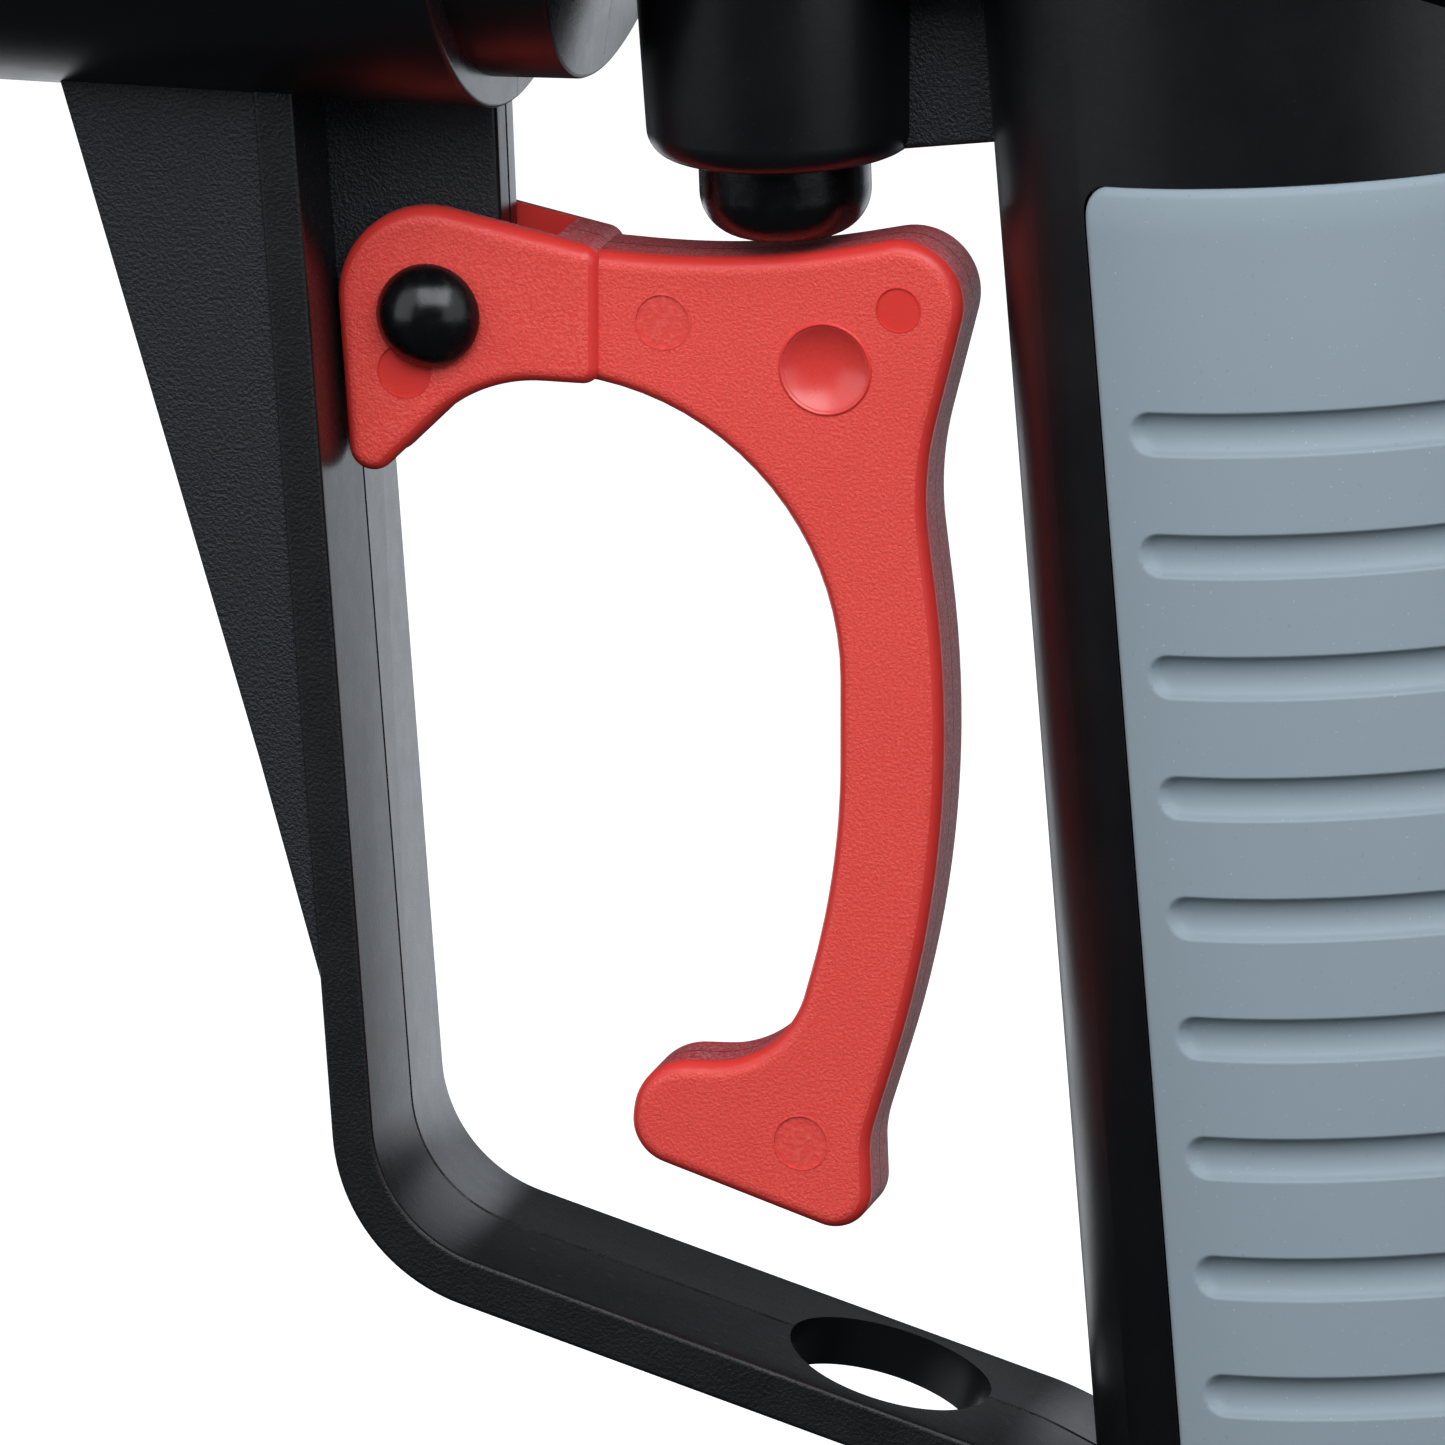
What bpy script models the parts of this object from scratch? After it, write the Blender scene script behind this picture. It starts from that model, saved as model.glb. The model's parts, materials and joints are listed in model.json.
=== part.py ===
"""Air-powered caulking gun: moulded body, trigger, valve, regulator, barrel and air inlet.

Sizes are millimetres in the design frame: the trigger pivot is the origin, the muzzle points
along -X, +Z is up, and Y = 0 is the plane that the two halves of the mould meet in. An empty
named gun carries every object and puts the middle of the whole box at the world's origin.
"""

import math

import bmesh
import bpy
from mathutils import Matrix, Vector

MM = 0.001
GAP = 0.3  # clearance between pieces that rest on each other

# Barrel: everything here turns about an axis along X at this height
BARREL_Z = 54.5
CUP_RADIUS = 35.4
CUP_FRONT_X = -78.0
CUP_REAR_X = 6.8
CUP_SEAT_X = 1.5
NECK_RADIUS = 32.6
NECK_END_RADIUS = 32.2
NECK_END_X = 14.7
NECK_END_LEAN = math.radians(8.5)
TUBE_RADIUS = 30.0
TUBE_WALL = 1.6
TUBE_FRONT_X = -233.0
TUBE_REAR_X = -2.0
COLLAR_FRONT_X = -238.0
COLLAR_REAR_X = -212.0
COLLAR_RADIUS = 33.4
NOZZLE_OPENING_RADIUS = 14.0
PISTON_REAR_X = -6.0
PISTON_LENGTH = 22.0
HOUSING_RADIUS = 23.0
HOUSING_REAR_X = 106.0

# Guard: a flat band that runs down from the cup and back to the handle
BAND_HALF = 11.95
STRUT_THICKNESS = 4.05
BAR_THICKNESS = 4.85
STRUT_FOOT = (-3.17, -84.57)  # where the inner faces of strut and bar would meet
STRUT_LEAN = 0.0721  # how far the strut goes back for each unit down
BAR_FALL = math.tan(math.radians(16.2))
GUARD_INNER_CORNER = 13.0
BAR_BEND_X = 56.5  # behind this the bar falls more steeply, down to the handle
BAR_END = (68.0, -107.2)
HOLE_CENTRE = (42.0, -97.7)
HOLE_RADIUS = 9.6
GUSSET_HALF = 11.55
GUSSET_WALL = 2.8
TONGUE_HALF = 3.1

# Trigger
TRIGGER_HALF = 4.5
EAR_HALF = 5.5
EAR_SLOT_HALF = 3.45
EAR_REAR_X = 15.7
TRIGGER_FILLET = 1.4
PIN_RADIUS = 2.4
PIN_HEAD_RADIUS = 4.8
PIN_HEAD_HEIGHT = 3.0
PIN_HEAD_EDGE = 0.5
PIN_CAP_GRIP = 1.6  # how far the shaft reaches into the far cap
DIMPLE_CENTRE = (36.8, -3.0)
DIMPLE_RADIUS = 3.9
DIMPLE_BALL_RADIUS = 7.0

# Valve: turns about an axis that leans back by two degrees as it goes down
VALVE_FOOT = (31.8, 15.95)
EXHAUST_PASSAGE_Z = VALVE_FOOT[1] + 18.7
BARREL_PASSAGE_Z = VALVE_FOOT[1] + 26.0
SUPPLY_PASSAGE_Z = 65.0
VALVE_LEAN = math.radians(2.0)
VALVE_FOOT_RADIUS = 12.4
VALVE_TOP = 63.9
VALVE_BORE = 9.4
PLUNGER_RADIUS = 7.8
PLUNGER_BOTTOM = -7.6
PLUNGER_CORNER = 4.2
VALVE_FOOT_CORNER = 2.6
SLEEVE_LOW = 10.0
SLEEVE_HIGH = 38.0

# Handle: a straight column that leans back as it goes down
HANDLE_TOP = (76.94, 22.64)
HANDLE_LEAN = math.radians(4.8)
HANDLE_FRONT = 25.5
HANDLE_BACK = 28.5
HANDLE_HALF = 18.0
HANDLE_LOW = -150.0
HANDLE_HIGH = 24.0
GRIP_PROUD = 0.9
GRIP_DEPTH = 1.6
GRIP_FRONT = -14.2
GRIP_LOW = -139.0
GRIP_HIGH = -3.4
GRIP_CORNER = 2.6
WEB_HALF = 2.0
INLET_U = -9.0
EXHAUST_U = 13.0
EXHAUST_Y = 3.0

# Regulator, on the barrel axis behind the valve
SEAT_X = 70.0
DIAPHRAGM_X = 75.5
REGULATOR_BORE = 16.4
KNOB_REAR_X = 126.0
KNOB_RADIUS = 18.0
KNOB_LOBES = 12

STEPS = 6  # segments in the fillet of an outline


# ---------------------------------------------------------------- materials

def material(name, colour, roughness, metallic=0.0):
    made = bpy.data.materials.new(name)
    made.use_nodes = True
    shader = made.node_tree.nodes["Principled BSDF"]
    shader.inputs["Base Color"].default_value = (*colour, 1.0)
    shader.inputs["Roughness"].default_value = roughness
    shader.inputs["Metallic"].default_value = metallic
    made.diffuse_color = (*colour, 1.0)
    return made


# ---------------------------------------------------------------- frames

def leaning_frame(foot, lean, along=0.0, side=0.0):
    """A frame in the XZ plane whose Z axis is upright but for a lean towards the muzzle."""
    turn = Matrix.Rotation(-lean, 4, "Y")
    place = Matrix.Translation(Vector((foot[0], 0.0, foot[1])) * MM)
    shift = Matrix.Translation(Vector((along, side, 0.0)) * MM)
    return place @ turn @ shift


def barrel_frame():
    """Z runs along +X on the barrel axis; X points down."""
    turn = Matrix.Rotation(math.radians(90.0), 4, "Y")
    return Matrix.Translation((0.0, 0.0, BARREL_Z * MM)) @ turn


def cross_frame(x=0.0, z=0.0):
    """Z runs along -Y, towards the side that the trigger pin's head is on."""
    turn = Matrix.Rotation(math.radians(90.0), 4, "X")
    return Matrix.Translation(Vector((x, 0.0, z)) * MM) @ turn


DESIGN = Matrix.Identity(4)
VALVE = leaning_frame(VALVE_FOOT, VALVE_LEAN)
HANDLE = leaning_frame(HANDLE_TOP, HANDLE_LEAN)
INLET = leaning_frame(HANDLE_TOP, HANDLE_LEAN, INLET_U)
EXHAUST = leaning_frame(HANDLE_TOP, HANDLE_LEAN, EXHAUST_U, EXHAUST_Y)
BARREL = barrel_frame()


# ---------------------------------------------------------------- outlines

def rounded(corners, steps=STEPS):
    """Corners (a, b, fillet radius) of a closed outline, with each fillet drawn as an arc."""
    points = []
    count = len(corners)
    for index, (a, b, radius) in enumerate(corners):
        here = Vector((a, b))
        if radius <= 0.0:
            points.append((a, b))
            continue
        before = Vector(corners[index - 1][:2]) - here
        after = Vector(corners[(index + 1) % count][:2]) - here
        half = before.angle(after) / 2.0
        reach = radius / math.tan(half)
        start = here + before.normalized() * reach
        bisector = (before.normalized() + after.normalized()).normalized()
        centre = here + bisector * (radius / math.sin(half))
        turn = math.pi - 2.0 * half
        if before.cross(after) > 0.0:
            turn = -turn
        spoke = start - centre
        for step in range(steps + 1):
            point = centre + Matrix.Rotation(turn * step / steps, 2) @ spoke
            points.append((point.x, point.y))
    return points


def inset(outline, distance):
    """Moves each point of an anticlockwise outline inwards, square to the outline."""
    moved = []
    count = len(outline)
    for index in range(count):
        before = Vector(outline[index - 1])
        after = Vector(outline[(index + 1) % count])
        along = (after - before).normalized()
        moved.append((outline[index][0] - along.y * distance, outline[index][1] + along.x * distance))
    return moved


def anticlockwise(outline):
    area = sum(a[0] * b[1] - b[0] * a[1] for a, b in zip(outline, outline[1:] + outline[:1]))
    return outline if area > 0.0 else outline[::-1]


# ---------------------------------------------------------------- solids

def solid(name, points, faces, frame):
    mesh = bpy.data.meshes.new(name)
    mesh.from_pydata([Vector(point) * MM for point in points], [], faces)
    work = bmesh.new()
    work.from_mesh(mesh)
    bmesh.ops.recalc_face_normals(work, faces=work.faces)
    work.to_mesh(mesh)
    work.free()
    made = bpy.data.objects.new(name, mesh)
    bpy.context.collection.objects.link(made)
    made.matrix_world = frame
    return made


def lofted(name, rings, frame=DESIGN, closed=False):
    """A skin through rings of equally many points, with flat ends unless it closes on itself."""
    count = len(rings[0])
    points = [point for ring in rings for point in ring]
    faces = []
    spans = len(rings) if closed else len(rings) - 1
    for span in range(spans):
        low = span * count
        high = (span + 1) % len(rings) * count
        for index in range(count):
            following = (index + 1) % count
            faces.append((low + index, low + following, high + following, high + index))
    if not closed:
        faces.append(tuple(range(count))[::-1])
        faces.append(tuple(range((len(rings) - 1) * count, len(rings) * count)))
    return solid(name, points, faces, frame)


def turned(name, profile, frame, segments=32):
    """A profile of (radius, height) turned about Z; it closes on itself if it stays off the axis."""
    rings = []
    on_axis = profile[0][0] < 1e-6
    body = profile[1:-1] if on_axis else profile
    for radius, height in body:
        ring = []
        for step in range(segments):
            angle = 2.0 * math.pi * (step + 0.5) / segments
            ring.append((radius * math.cos(angle), radius * math.sin(angle), height))
        rings.append(ring)
    return lofted(name, rings, frame, closed=not on_axis)


def rod(name, radius, low, high, frame, segments=24):
    return turned(name, [(0.0, low), (radius, low), (radius, high), (0.0, high)], frame, segments)


def tube(name, outer, inner, low, high, frame, segments=40):
    profile = [(inner, low), (outer, low), (outer, high), (inner, high)]
    return turned(name, profile, frame, segments)


def slab(name, outline, half, frame=DESIGN, fillet=0.0, steps=2):
    """An (x, z) outline pulled to both sides of Y = 0, with rounded rims if a fillet is given."""
    outline = anticlockwise(outline)
    levels = [(-half, fillet)] if fillet > 0.0 else [(-half, 0.0)]
    for step in range(1, steps + 1 if fillet > 0.0 else 1):
        angle = math.pi / 2.0 * step / steps
        levels.append((-half + fillet * (1.0 - math.cos(angle)), fillet * (1.0 - math.sin(angle))))
    levels += [(-y, depth) for y, depth in reversed(levels)]
    rings = []
    for y, depth in levels:
        rings.append([(x, y, z) for x, z in inset(outline, depth)])
    return lofted(name, rings, frame)


def coil(name, radius, wire, low, high, turns, frame, around=12, sides=5):
    """A round-wire compression spring between two heights."""
    rings = []
    total = int(turns * around)
    start = low + wire
    rise = high - low - 2.0 * wire
    pitch_angle = math.atan2(rise / turns, 2.0 * math.pi * radius)
    for step in range(total + 1):
        angle = 2.0 * math.pi * turns * step / total
        centre = Vector((radius * math.cos(angle), radius * math.sin(angle), start + rise * step / total))
        outward = Vector((math.cos(angle), math.sin(angle), 0.0))
        along = Vector((-math.sin(angle), math.cos(angle), math.tan(pitch_angle))).normalized()
        across = along.cross(outward)
        ring = []
        for side in range(sides):
            spin = 2.0 * math.pi * side / sides
            ring.append(centre + (outward * math.cos(spin) + across * math.sin(spin)) * wire)
        rings.append(ring)
    return lofted(name, rings, frame)


def hexagon(name, across_flats, low, high, frame):
    radius = across_flats / math.sqrt(3.0)
    return turned(name, [(0.0, low), (radius, low), (radius, high), (0.0, high)], frame, 6)


# ---------------------------------------------------------------- joining and cutting

def combine(target, tool, operation):
    """Joins or cuts the target with a tool by a Boolean, then takes the tool away."""
    tool.hide_render = True
    tool.display_type = "WIRE"
    step = target.modifiers.new(operation.lower(), "BOOLEAN")
    step.operation = operation
    step.solver = "EXACT"
    step.object = tool
    bpy.context.view_layer.update()
    view = bpy.context.evaluated_depsgraph_get()
    result = bpy.data.meshes.new_from_object(target.evaluated_get(view))
    target.modifiers.clear()
    old = target.data
    target.data = result
    bpy.data.meshes.remove(old)
    result.name = target.name
    bpy.data.objects.remove(tool)


def join(target, *tools):
    for tool in tools:
        combine(target, tool, "UNION")


def cut(target, *tools):
    for tool in tools:
        combine(target, tool, "DIFFERENCE")


def finished(target, surface, angle=32.0):
    target.data.materials.clear()
    target.data.materials.append(surface)
    target.data.shade_smooth()
    target.data.set_sharp_from_angle(angle=math.radians(angle))
    return target


# ---------------------------------------------------------------- body moulding

def strut_inner_x(z):
    return STRUT_FOOT[0] - (z - STRUT_FOOT[1]) * STRUT_LEAN


def bar_top_z(x):
    return STRUT_FOOT[1] - (x - STRUT_FOOT[0]) * BAR_FALL


def guard_band():
    """The strut and the bar, bent from one band of constant width."""
    top = BARREL_Z - 25.0
    drop = BAR_THICKNESS / math.cos(math.atan(BAR_FALL))
    outer_foot_x = STRUT_FOOT[0] - STRUT_THICKNESS
    corners = [
        (strut_inner_x(top), top, 0.0),
        (STRUT_FOOT[0], STRUT_FOOT[1], GUARD_INNER_CORNER),
        (BAR_BEND_X, bar_top_z(BAR_BEND_X), 30.0),
        (BAR_END[0], BAR_END[1], 0.0),
        (BAR_END[0], BAR_END[1] - drop, 0.0),
        (BAR_BEND_X, bar_top_z(BAR_BEND_X) - drop, 30.0),
        (outer_foot_x, bar_top_z(outer_foot_x) - drop, GUARD_INNER_CORNER + STRUT_THICKNESS),
        (strut_inner_x(top) - STRUT_THICKNESS, top, 0.0),
    ]
    return slab("guard", rounded(corners), BAND_HALF, fillet=0.5)


def gusset():
    """A deep triangular brace in front of the strut, hollow from the front."""
    top = BARREL_Z - 28.0
    corners = [
        (strut_inner_x(top) - 1.5, top, 0.0),
        (-34.6, top, 0.0),
        (-14.7, -41.1, 0.0),
        (-8.95, -61.8, 0.0),
        (strut_inner_x(-61.8) - 1.5, -61.8, 0.0),
    ]
    made = slab("gusset", corners, GUSSET_HALF)
    wall = STRUT_THICKNESS + 1.6
    hollow = [
        (strut_inner_x(16.0) - wall, 16.0),
        (-60.0, 16.0),
        (-60.0, -70.0),
        (strut_inner_x(-70.0) - wall, -70.0),
    ]
    cut(made, slab("gusset_hollow", hollow, GUSSET_HALF - GUSSET_WALL))
    return made


def tongue():
    """The plate behind the strut that the trigger's ears straddle."""
    top = BARREL_Z - 28.0
    corners = [
        (strut_inner_x(top) - 1.0, top, 0.0),
        (5.35, top, 0.0),
        (6.65, -7.4, 7.0),
        (strut_inner_x(-8.0) - 1.0, -7.4, 0.0),
    ]
    return slab("tongue", rounded(corners), TONGUE_HALF, fillet=0.7)


def neck():
    """The round step behind the cup; its end face leans back as it rises."""
    rings = []
    for radius, start, lean in ((NECK_RADIUS, 2.0, 0.0), (NECK_END_RADIUS, NECK_END_X, NECK_END_LEAN)):
        ring = []
        for step in range(48):
            angle = 2.0 * math.pi * (step + 0.5) / 48
            x = start + radius * (1.0 + math.sin(angle)) * math.tan(lean)
            ring.append((x, radius * math.cos(angle), BARREL_Z + radius * math.sin(angle)))
        rings.append(ring)
    return lofted("neck", rings)


def handle_section(offset, height, count=48):
    """A ring of the handle's egg-shaped section, grown or shrunk by an offset."""
    ring = []
    for step in range(count):
        angle = 2.0 * math.pi * (step + 0.5) / count
        depth = HANDLE_BACK if math.cos(angle) > 0.0 else HANDLE_FRONT
        ring.append(((depth + offset) * math.cos(angle), (HANDLE_HALF + offset) * math.sin(angle), height))
    return ring


def handle_column(name, offset, low, high):
    return lofted(name, [handle_section(offset, low), handle_section(offset, high)], HANDLE)


def grip_window(name, margin):
    """The part of the handle that the soft grip covers, as a block with round front corners."""
    corners = [
        (GRIP_FRONT - margin, GRIP_HIGH + margin, GRIP_CORNER + margin),
        (GRIP_FRONT - margin, GRIP_LOW - margin, GRIP_CORNER + margin),
        (HANDLE_BACK + 20.0, GRIP_LOW - margin, 0.0),
        (HANDLE_BACK + 20.0, GRIP_HIGH + margin, 0.0),
    ]
    return slab(name, rounded(corners), HANDLE_HALF + 10.0, HANDLE)


def grip_recess():
    window = grip_window("grip_recess", GAP)
    cut(window, handle_column("grip_core", -GRIP_DEPTH, GRIP_LOW - 30.0, GRIP_HIGH + 30.0))
    return window


def valve_housing():
    rounding = VALVE_FOOT_CORNER
    profile = [(0.0, 0.0), (VALVE_FOOT_RADIUS - rounding, 0.0)]
    for step in range(1, 5):
        angle = math.pi / 2.0 * step / 4
        radius = VALVE_FOOT_RADIUS - rounding + rounding * math.sin(angle)
        profile.append((radius, rounding - rounding * math.cos(angle)))
    rim = VALVE_TOP + 0.8
    profile += [(12.9, 16.0), (12.9, rim), (0.0, rim)]
    return turned("valve_housing", profile, VALVE, 36)


def web():
    """The thin wall between the valve housing and the handle."""
    outline = [(-42.0, -3.1), (-18.0, -1.9), (-18.0, 20.0), (-42.0, 20.0)]
    return slab("web", outline, WEB_HALF, HANDLE)


def cup():
    profile = [
        (0.0, CUP_FRONT_X),
        (CUP_RADIUS - 1.2, CUP_FRONT_X),
        (CUP_RADIUS, CUP_FRONT_X + 1.2),
        (CUP_RADIUS, CUP_REAR_X - 0.5),
        (CUP_RADIUS - 0.5, CUP_REAR_X),
        (0.0, CUP_REAR_X),
    ]
    return turned("cup", profile, BARREL, 56)


def rear_housing():
    profile = [
        (0.0, 0.0),
        (HOUSING_RADIUS, 0.0),
        (HOUSING_RADIUS, HOUSING_REAR_X - 1.5),
        (HOUSING_RADIUS - 1.5, HOUSING_REAR_X),
        (0.0, HOUSING_REAR_X),
    ]
    return turned("rear_housing", profile, BARREL, 40)


def drilled_along_x(name, radius, low, high, z, y=0.0):
    frame = Matrix.Translation(Vector((0.0, y, z - BARREL_Z)) * MM) @ BARREL
    return rod(name, radius, low, high, frame, 16)


def body_moulding(surface):
    body = handle_column("body_moulding", 0.0, HANDLE_LOW, HANDLE_HIGH)
    join(body, rear_housing(), cup(), neck(), valve_housing(), web(), gusset(), guard_band(), tongue())
    cut(body, rod("cup_bore", TUBE_RADIUS + 0.4, CUP_FRONT_X - 5.0, CUP_SEAT_X, BARREL, 48))
    cut(body, rod("regulator_bore", REGULATOR_BORE, DIAPHRAGM_X, HOUSING_REAR_X + 5.0, BARREL, 32))
    cut(body, rod("diaphragm_chamber", 13.5, SEAT_X + 4.0, DIAPHRAGM_X + 1.0, BARREL, 28))
    cut(body, rod("poppet_chamber", 7.0, 56.0, SEAT_X, BARREL, 24))
    cut(body, rod("seat_hole", 3.0, SEAT_X - 1.0, SEAT_X + 5.0, BARREL, 16))
    cut(body, rod("valve_bore", VALVE_BORE, 3.2, VALVE_TOP + 5.0, VALVE, 28))
    cut(body, rod("plug_seat", 11.9, VALVE_TOP, VALVE_TOP + 12.0, VALVE, 28))
    cut(body, rod("plunger_hole", PLUNGER_RADIUS + GAP, -2.0, 4.0, VALVE, 28))
    cut(body, drilled_along_x("barrel_passage", 2.5, 0.5, 30.0, BARREL_PASSAGE_Z))
    cut(body, drilled_along_x("supply_passage", 2.2, 34.0, SEAT_X + 5.0, SUPPLY_PASSAGE_Z))
    cut(body, drilled_along_x("exhaust_passage", 2.2, 31.0, 90.0, EXHAUST_PASSAGE_Z, 6.9))
    cut(body, rod("inlet_duct", 4.0, HANDLE_LOW - 5.0, 29.0, INLET, 20))
    cut(body, rod("inlet_thread", 8.0, HANDLE_LOW - 5.0, HANDLE_LOW + 16.0, INLET, 32))
    cut(body, rod("exhaust_duct", 5.0, HANDLE_LOW - 5.0, 12.0, EXHAUST, 20))
    cut(body, rod("exhaust_thread", 6.3, HANDLE_LOW - 5.0, HANDLE_LOW + 9.0, EXHAUST, 28))
    hole_frame = Matrix.Translation(Vector((HOLE_CENTRE[0], 0.0, HOLE_CENTRE[1])) * MM)
    hole_frame = hole_frame @ Matrix.Rotation(math.atan(BAR_FALL), 4, "Y")
    cut(body, rod("hanging_hole", HOLE_RADIUS, -12.0, 12.0, hole_frame, 36))
    cut(body, rod("pin_hole", PIN_RADIUS + 0.2, -20.0, 20.0, cross_frame(), 24))
    cut(body, grip_recess())
    return finished(body, surface)


def grip_overmould(surface):
    grip = handle_column("grip_overmould", GRIP_PROUD, GRIP_LOW - 10.0, GRIP_HIGH + 10.0)
    combine(grip, grip_window("grip_window", 0.0), "INTERSECT")
    cut(grip, handle_column("grip_inside", GAP - GRIP_DEPTH, GRIP_LOW - 30.0, GRIP_HIGH + 30.0))
    return finished(grip, surface)


# ---------------------------------------------------------------- trigger and its pin

def trigger(surface):
    """A hooked lever with a forked front end that straddles the tongue."""
    lever = [
        (4.0, 6.9, 0.0),
        (29.0, 6.0, 85.0),
        (51.5, 11.0, 5.9),
        (45.5, -13.0, 30.0),
        (49.7, -46.3, 105.0),
        (40.8, -75.4, 10.0),
        (41.2, -85.4, 3.6),
        (18.1, -78.0, 4.2),
        (18.95, -69.4, 5.4),
        (32.8, -68.8, 9.5),
        (37.95, -50.0, 75.0),
        (37.9, -5.35, 26.8),
        (4.0, -5.35, 0.0),
    ]
    ears = [
        (strut_inner_x(11.9) + 0.38, 11.9, 8.8),
        (EAR_REAR_X, 6.8, 0.8),
        (EAR_REAR_X, -5.85, 0.8),
        (4.5, -5.85, 14.0),
        (strut_inner_x(-17.9) + 0.38, -17.9, 2.2),
    ]
    made = slab("trigger", rounded(lever, 5), TRIGGER_HALF, fillet=TRIGGER_FILLET)
    join(made, slab("ears", rounded(ears, 5), EAR_HALF, fillet=TRIGGER_FILLET))
    slot = [(-20.0, 20.0), (-20.0, -30.0), (11.5, -30.0), (11.5, 20.0)]
    cut(made, slab("slot", slot, EAR_SLOT_HALF))
    cut(made, rod("ear_holes", PIN_RADIUS + GAP, -10.0, 10.0, cross_frame(), 24))
    ball = DIMPLE_BALL_RADIUS
    depth = ball - math.sqrt(ball * ball - DIMPLE_RADIUS * DIMPLE_RADIUS)
    centre = TRIGGER_HALF - depth + ball
    profile = [(0.0, centre - ball)]
    for step in range(1, 8):
        angle = math.pi / 3.0 * step / 8
        profile.append((ball * math.sin(angle), centre - ball * math.cos(angle)))
    profile.append((0.0, profile[-1][1] + 1.0))
    cut(made, turned("dimple", profile, cross_frame(*DIMPLE_CENTRE), 24))
    return finished(made, surface)


def domed(radius, height, steps=5):
    """The profile of a domed head, from its rim to just off its crown."""
    sphere = (radius * radius + height * height) / (2.0 * height)
    reach = math.asin(radius / sphere)
    points = []
    for step in range(steps):
        angle = reach * (1.0 - step / steps)
        points.append((sphere * math.sin(angle), sphere * (math.cos(angle) - 1.0) + height))
    return points


def trigger_pin(surface):
    """A shaft through tongue and ears with a domed head on the near side."""
    face = EAR_HALF + GAP
    profile = [(0.0, -face - PIN_CAP_GRIP), (PIN_RADIUS, -face - PIN_CAP_GRIP)]
    profile += [(PIN_RADIUS, face), (PIN_HEAD_RADIUS, face)]
    for radius, height in domed(PIN_HEAD_RADIUS, PIN_HEAD_HEIGHT):
        profile.append((radius, face + PIN_HEAD_EDGE + height))
    profile.append((0.0, face + PIN_HEAD_EDGE + PIN_HEAD_HEIGHT))
    return finished(turned("trigger_pin", profile, cross_frame(), 24), surface)


def trigger_pin_cap(surface):
    """A domed cap pressed over the far end of the pin."""
    face = EAR_HALF + GAP
    profile = [(0.0, face), (PIN_HEAD_RADIUS, face)]
    for radius, height in domed(PIN_HEAD_RADIUS, PIN_HEAD_HEIGHT):
        profile.append((radius, face + PIN_HEAD_EDGE + height))
    profile.append((0.0, face + PIN_HEAD_EDGE + PIN_HEAD_HEIGHT))
    frame = Matrix.Rotation(math.pi, 4, "Z") @ cross_frame()
    made = turned("trigger_pin_cap", profile, frame, 24)
    cut(made, rod("cap_socket", PIN_RADIUS + 0.2, face - 1.0, face + PIN_CAP_GRIP + GAP, frame, 24))
    return finished(made, surface)


# ---------------------------------------------------------------- valve

def valve_plunger(surface):
    """The button under the valve housing, with a collar that keeps it in and a push rod."""
    corner = PLUNGER_CORNER
    low = PLUNGER_BOTTOM
    profile = [(0.0, low), (PLUNGER_RADIUS - corner, low)]
    for step in range(1, 7):
        angle = math.pi / 2.0 * step / 6
        radius = PLUNGER_RADIUS - corner + corner * math.sin(angle)
        profile.append((radius, low + corner - corner * math.cos(angle)))
    profile += [(PLUNGER_RADIUS, 3.5), (VALVE_BORE - 0.4, 3.5), (VALVE_BORE - 0.4, 5.5)]
    profile += [(2.6, 5.5), (2.6, 12.0), (0.0, 12.0)]
    return finished(turned("valve_plunger", profile, VALVE, 28), surface)


def valve_sleeve(surface):
    made = tube("valve_sleeve", VALVE_BORE - GAP, 5.8, SLEEVE_LOW, SLEEVE_HIGH, VALVE, 24)
    for height in (18.7, 26.0):
        port = Matrix.Rotation(math.pi / 2.0, 4, "Y")
        frame = VALVE @ Matrix.Translation((0.0, 0.0, height * MM)) @ port
        cut(made, rod("port", 2.0, -15.0, 15.0, frame, 12))
    return finished(made, surface)


def valve_spool(surface):
    """A stepped rod: two sealing lands with a waist between them and a peg for the spring."""
    land = 5.3
    groove = 4.1
    profile = [
        (0.0, 12.3), (land, 12.3), (land, 14.0), (groove, 14.0), (groove, 15.6), (land, 15.6), (land, 17.4),
        (3.0, 18.6), (3.0, 28.4), (land, 29.6), (land, 31.2), (groove, 31.2), (groove, 32.8), (land, 32.8),
        (land, 36.6), (2.6, 36.6), (2.6, 42.0), (0.0, 42.0),
    ]
    return finished(turned("valve_spool", profile, VALVE, 20), surface)


def o_ring(name, radius, wire, height, frame, surface, segments=24, sides=5):
    profile = []
    for side in range(sides):
        angle = 2.0 * math.pi * side / sides
        profile.append((radius + wire * math.cos(angle), height + wire * math.sin(angle)))
    return finished(turned(name, profile, frame, segments), surface)


def valve_top_plug(surface):
    """The threaded plug that closes the top of the valve bore, with a socket for a hex key."""
    profile = [
        (0.0, 54.4), (3.6, 54.4), (3.6, 55.4), (VALVE_BORE - GAP, 55.4), (VALVE_BORE - GAP, VALVE_TOP + GAP),
        (11.4, VALVE_TOP + GAP), (11.4, 67.0), (10.4, 68.0), (0.0, 68.0),
    ]
    made = turned("valve_top_plug", profile, VALVE, 28)
    cut(made, hexagon("key_socket", 8.0, 63.0, 70.0, VALVE))
    return finished(made, surface)


# ---------------------------------------------------------------- barrel

def barrel_tube(surface):
    made = tube("barrel_tube", TUBE_RADIUS, TUBE_RADIUS - TUBE_WALL, TUBE_FRONT_X, TUBE_REAR_X, BARREL, 56)
    return finished(made, surface)


def barrel_rear_seal(surface):
    low = TUBE_REAR_X + GAP
    return finished(tube("barrel_rear_seal", TUBE_RADIUS - 0.2, 26.0, low, CUP_SEAT_X - GAP, BARREL), surface)


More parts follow.
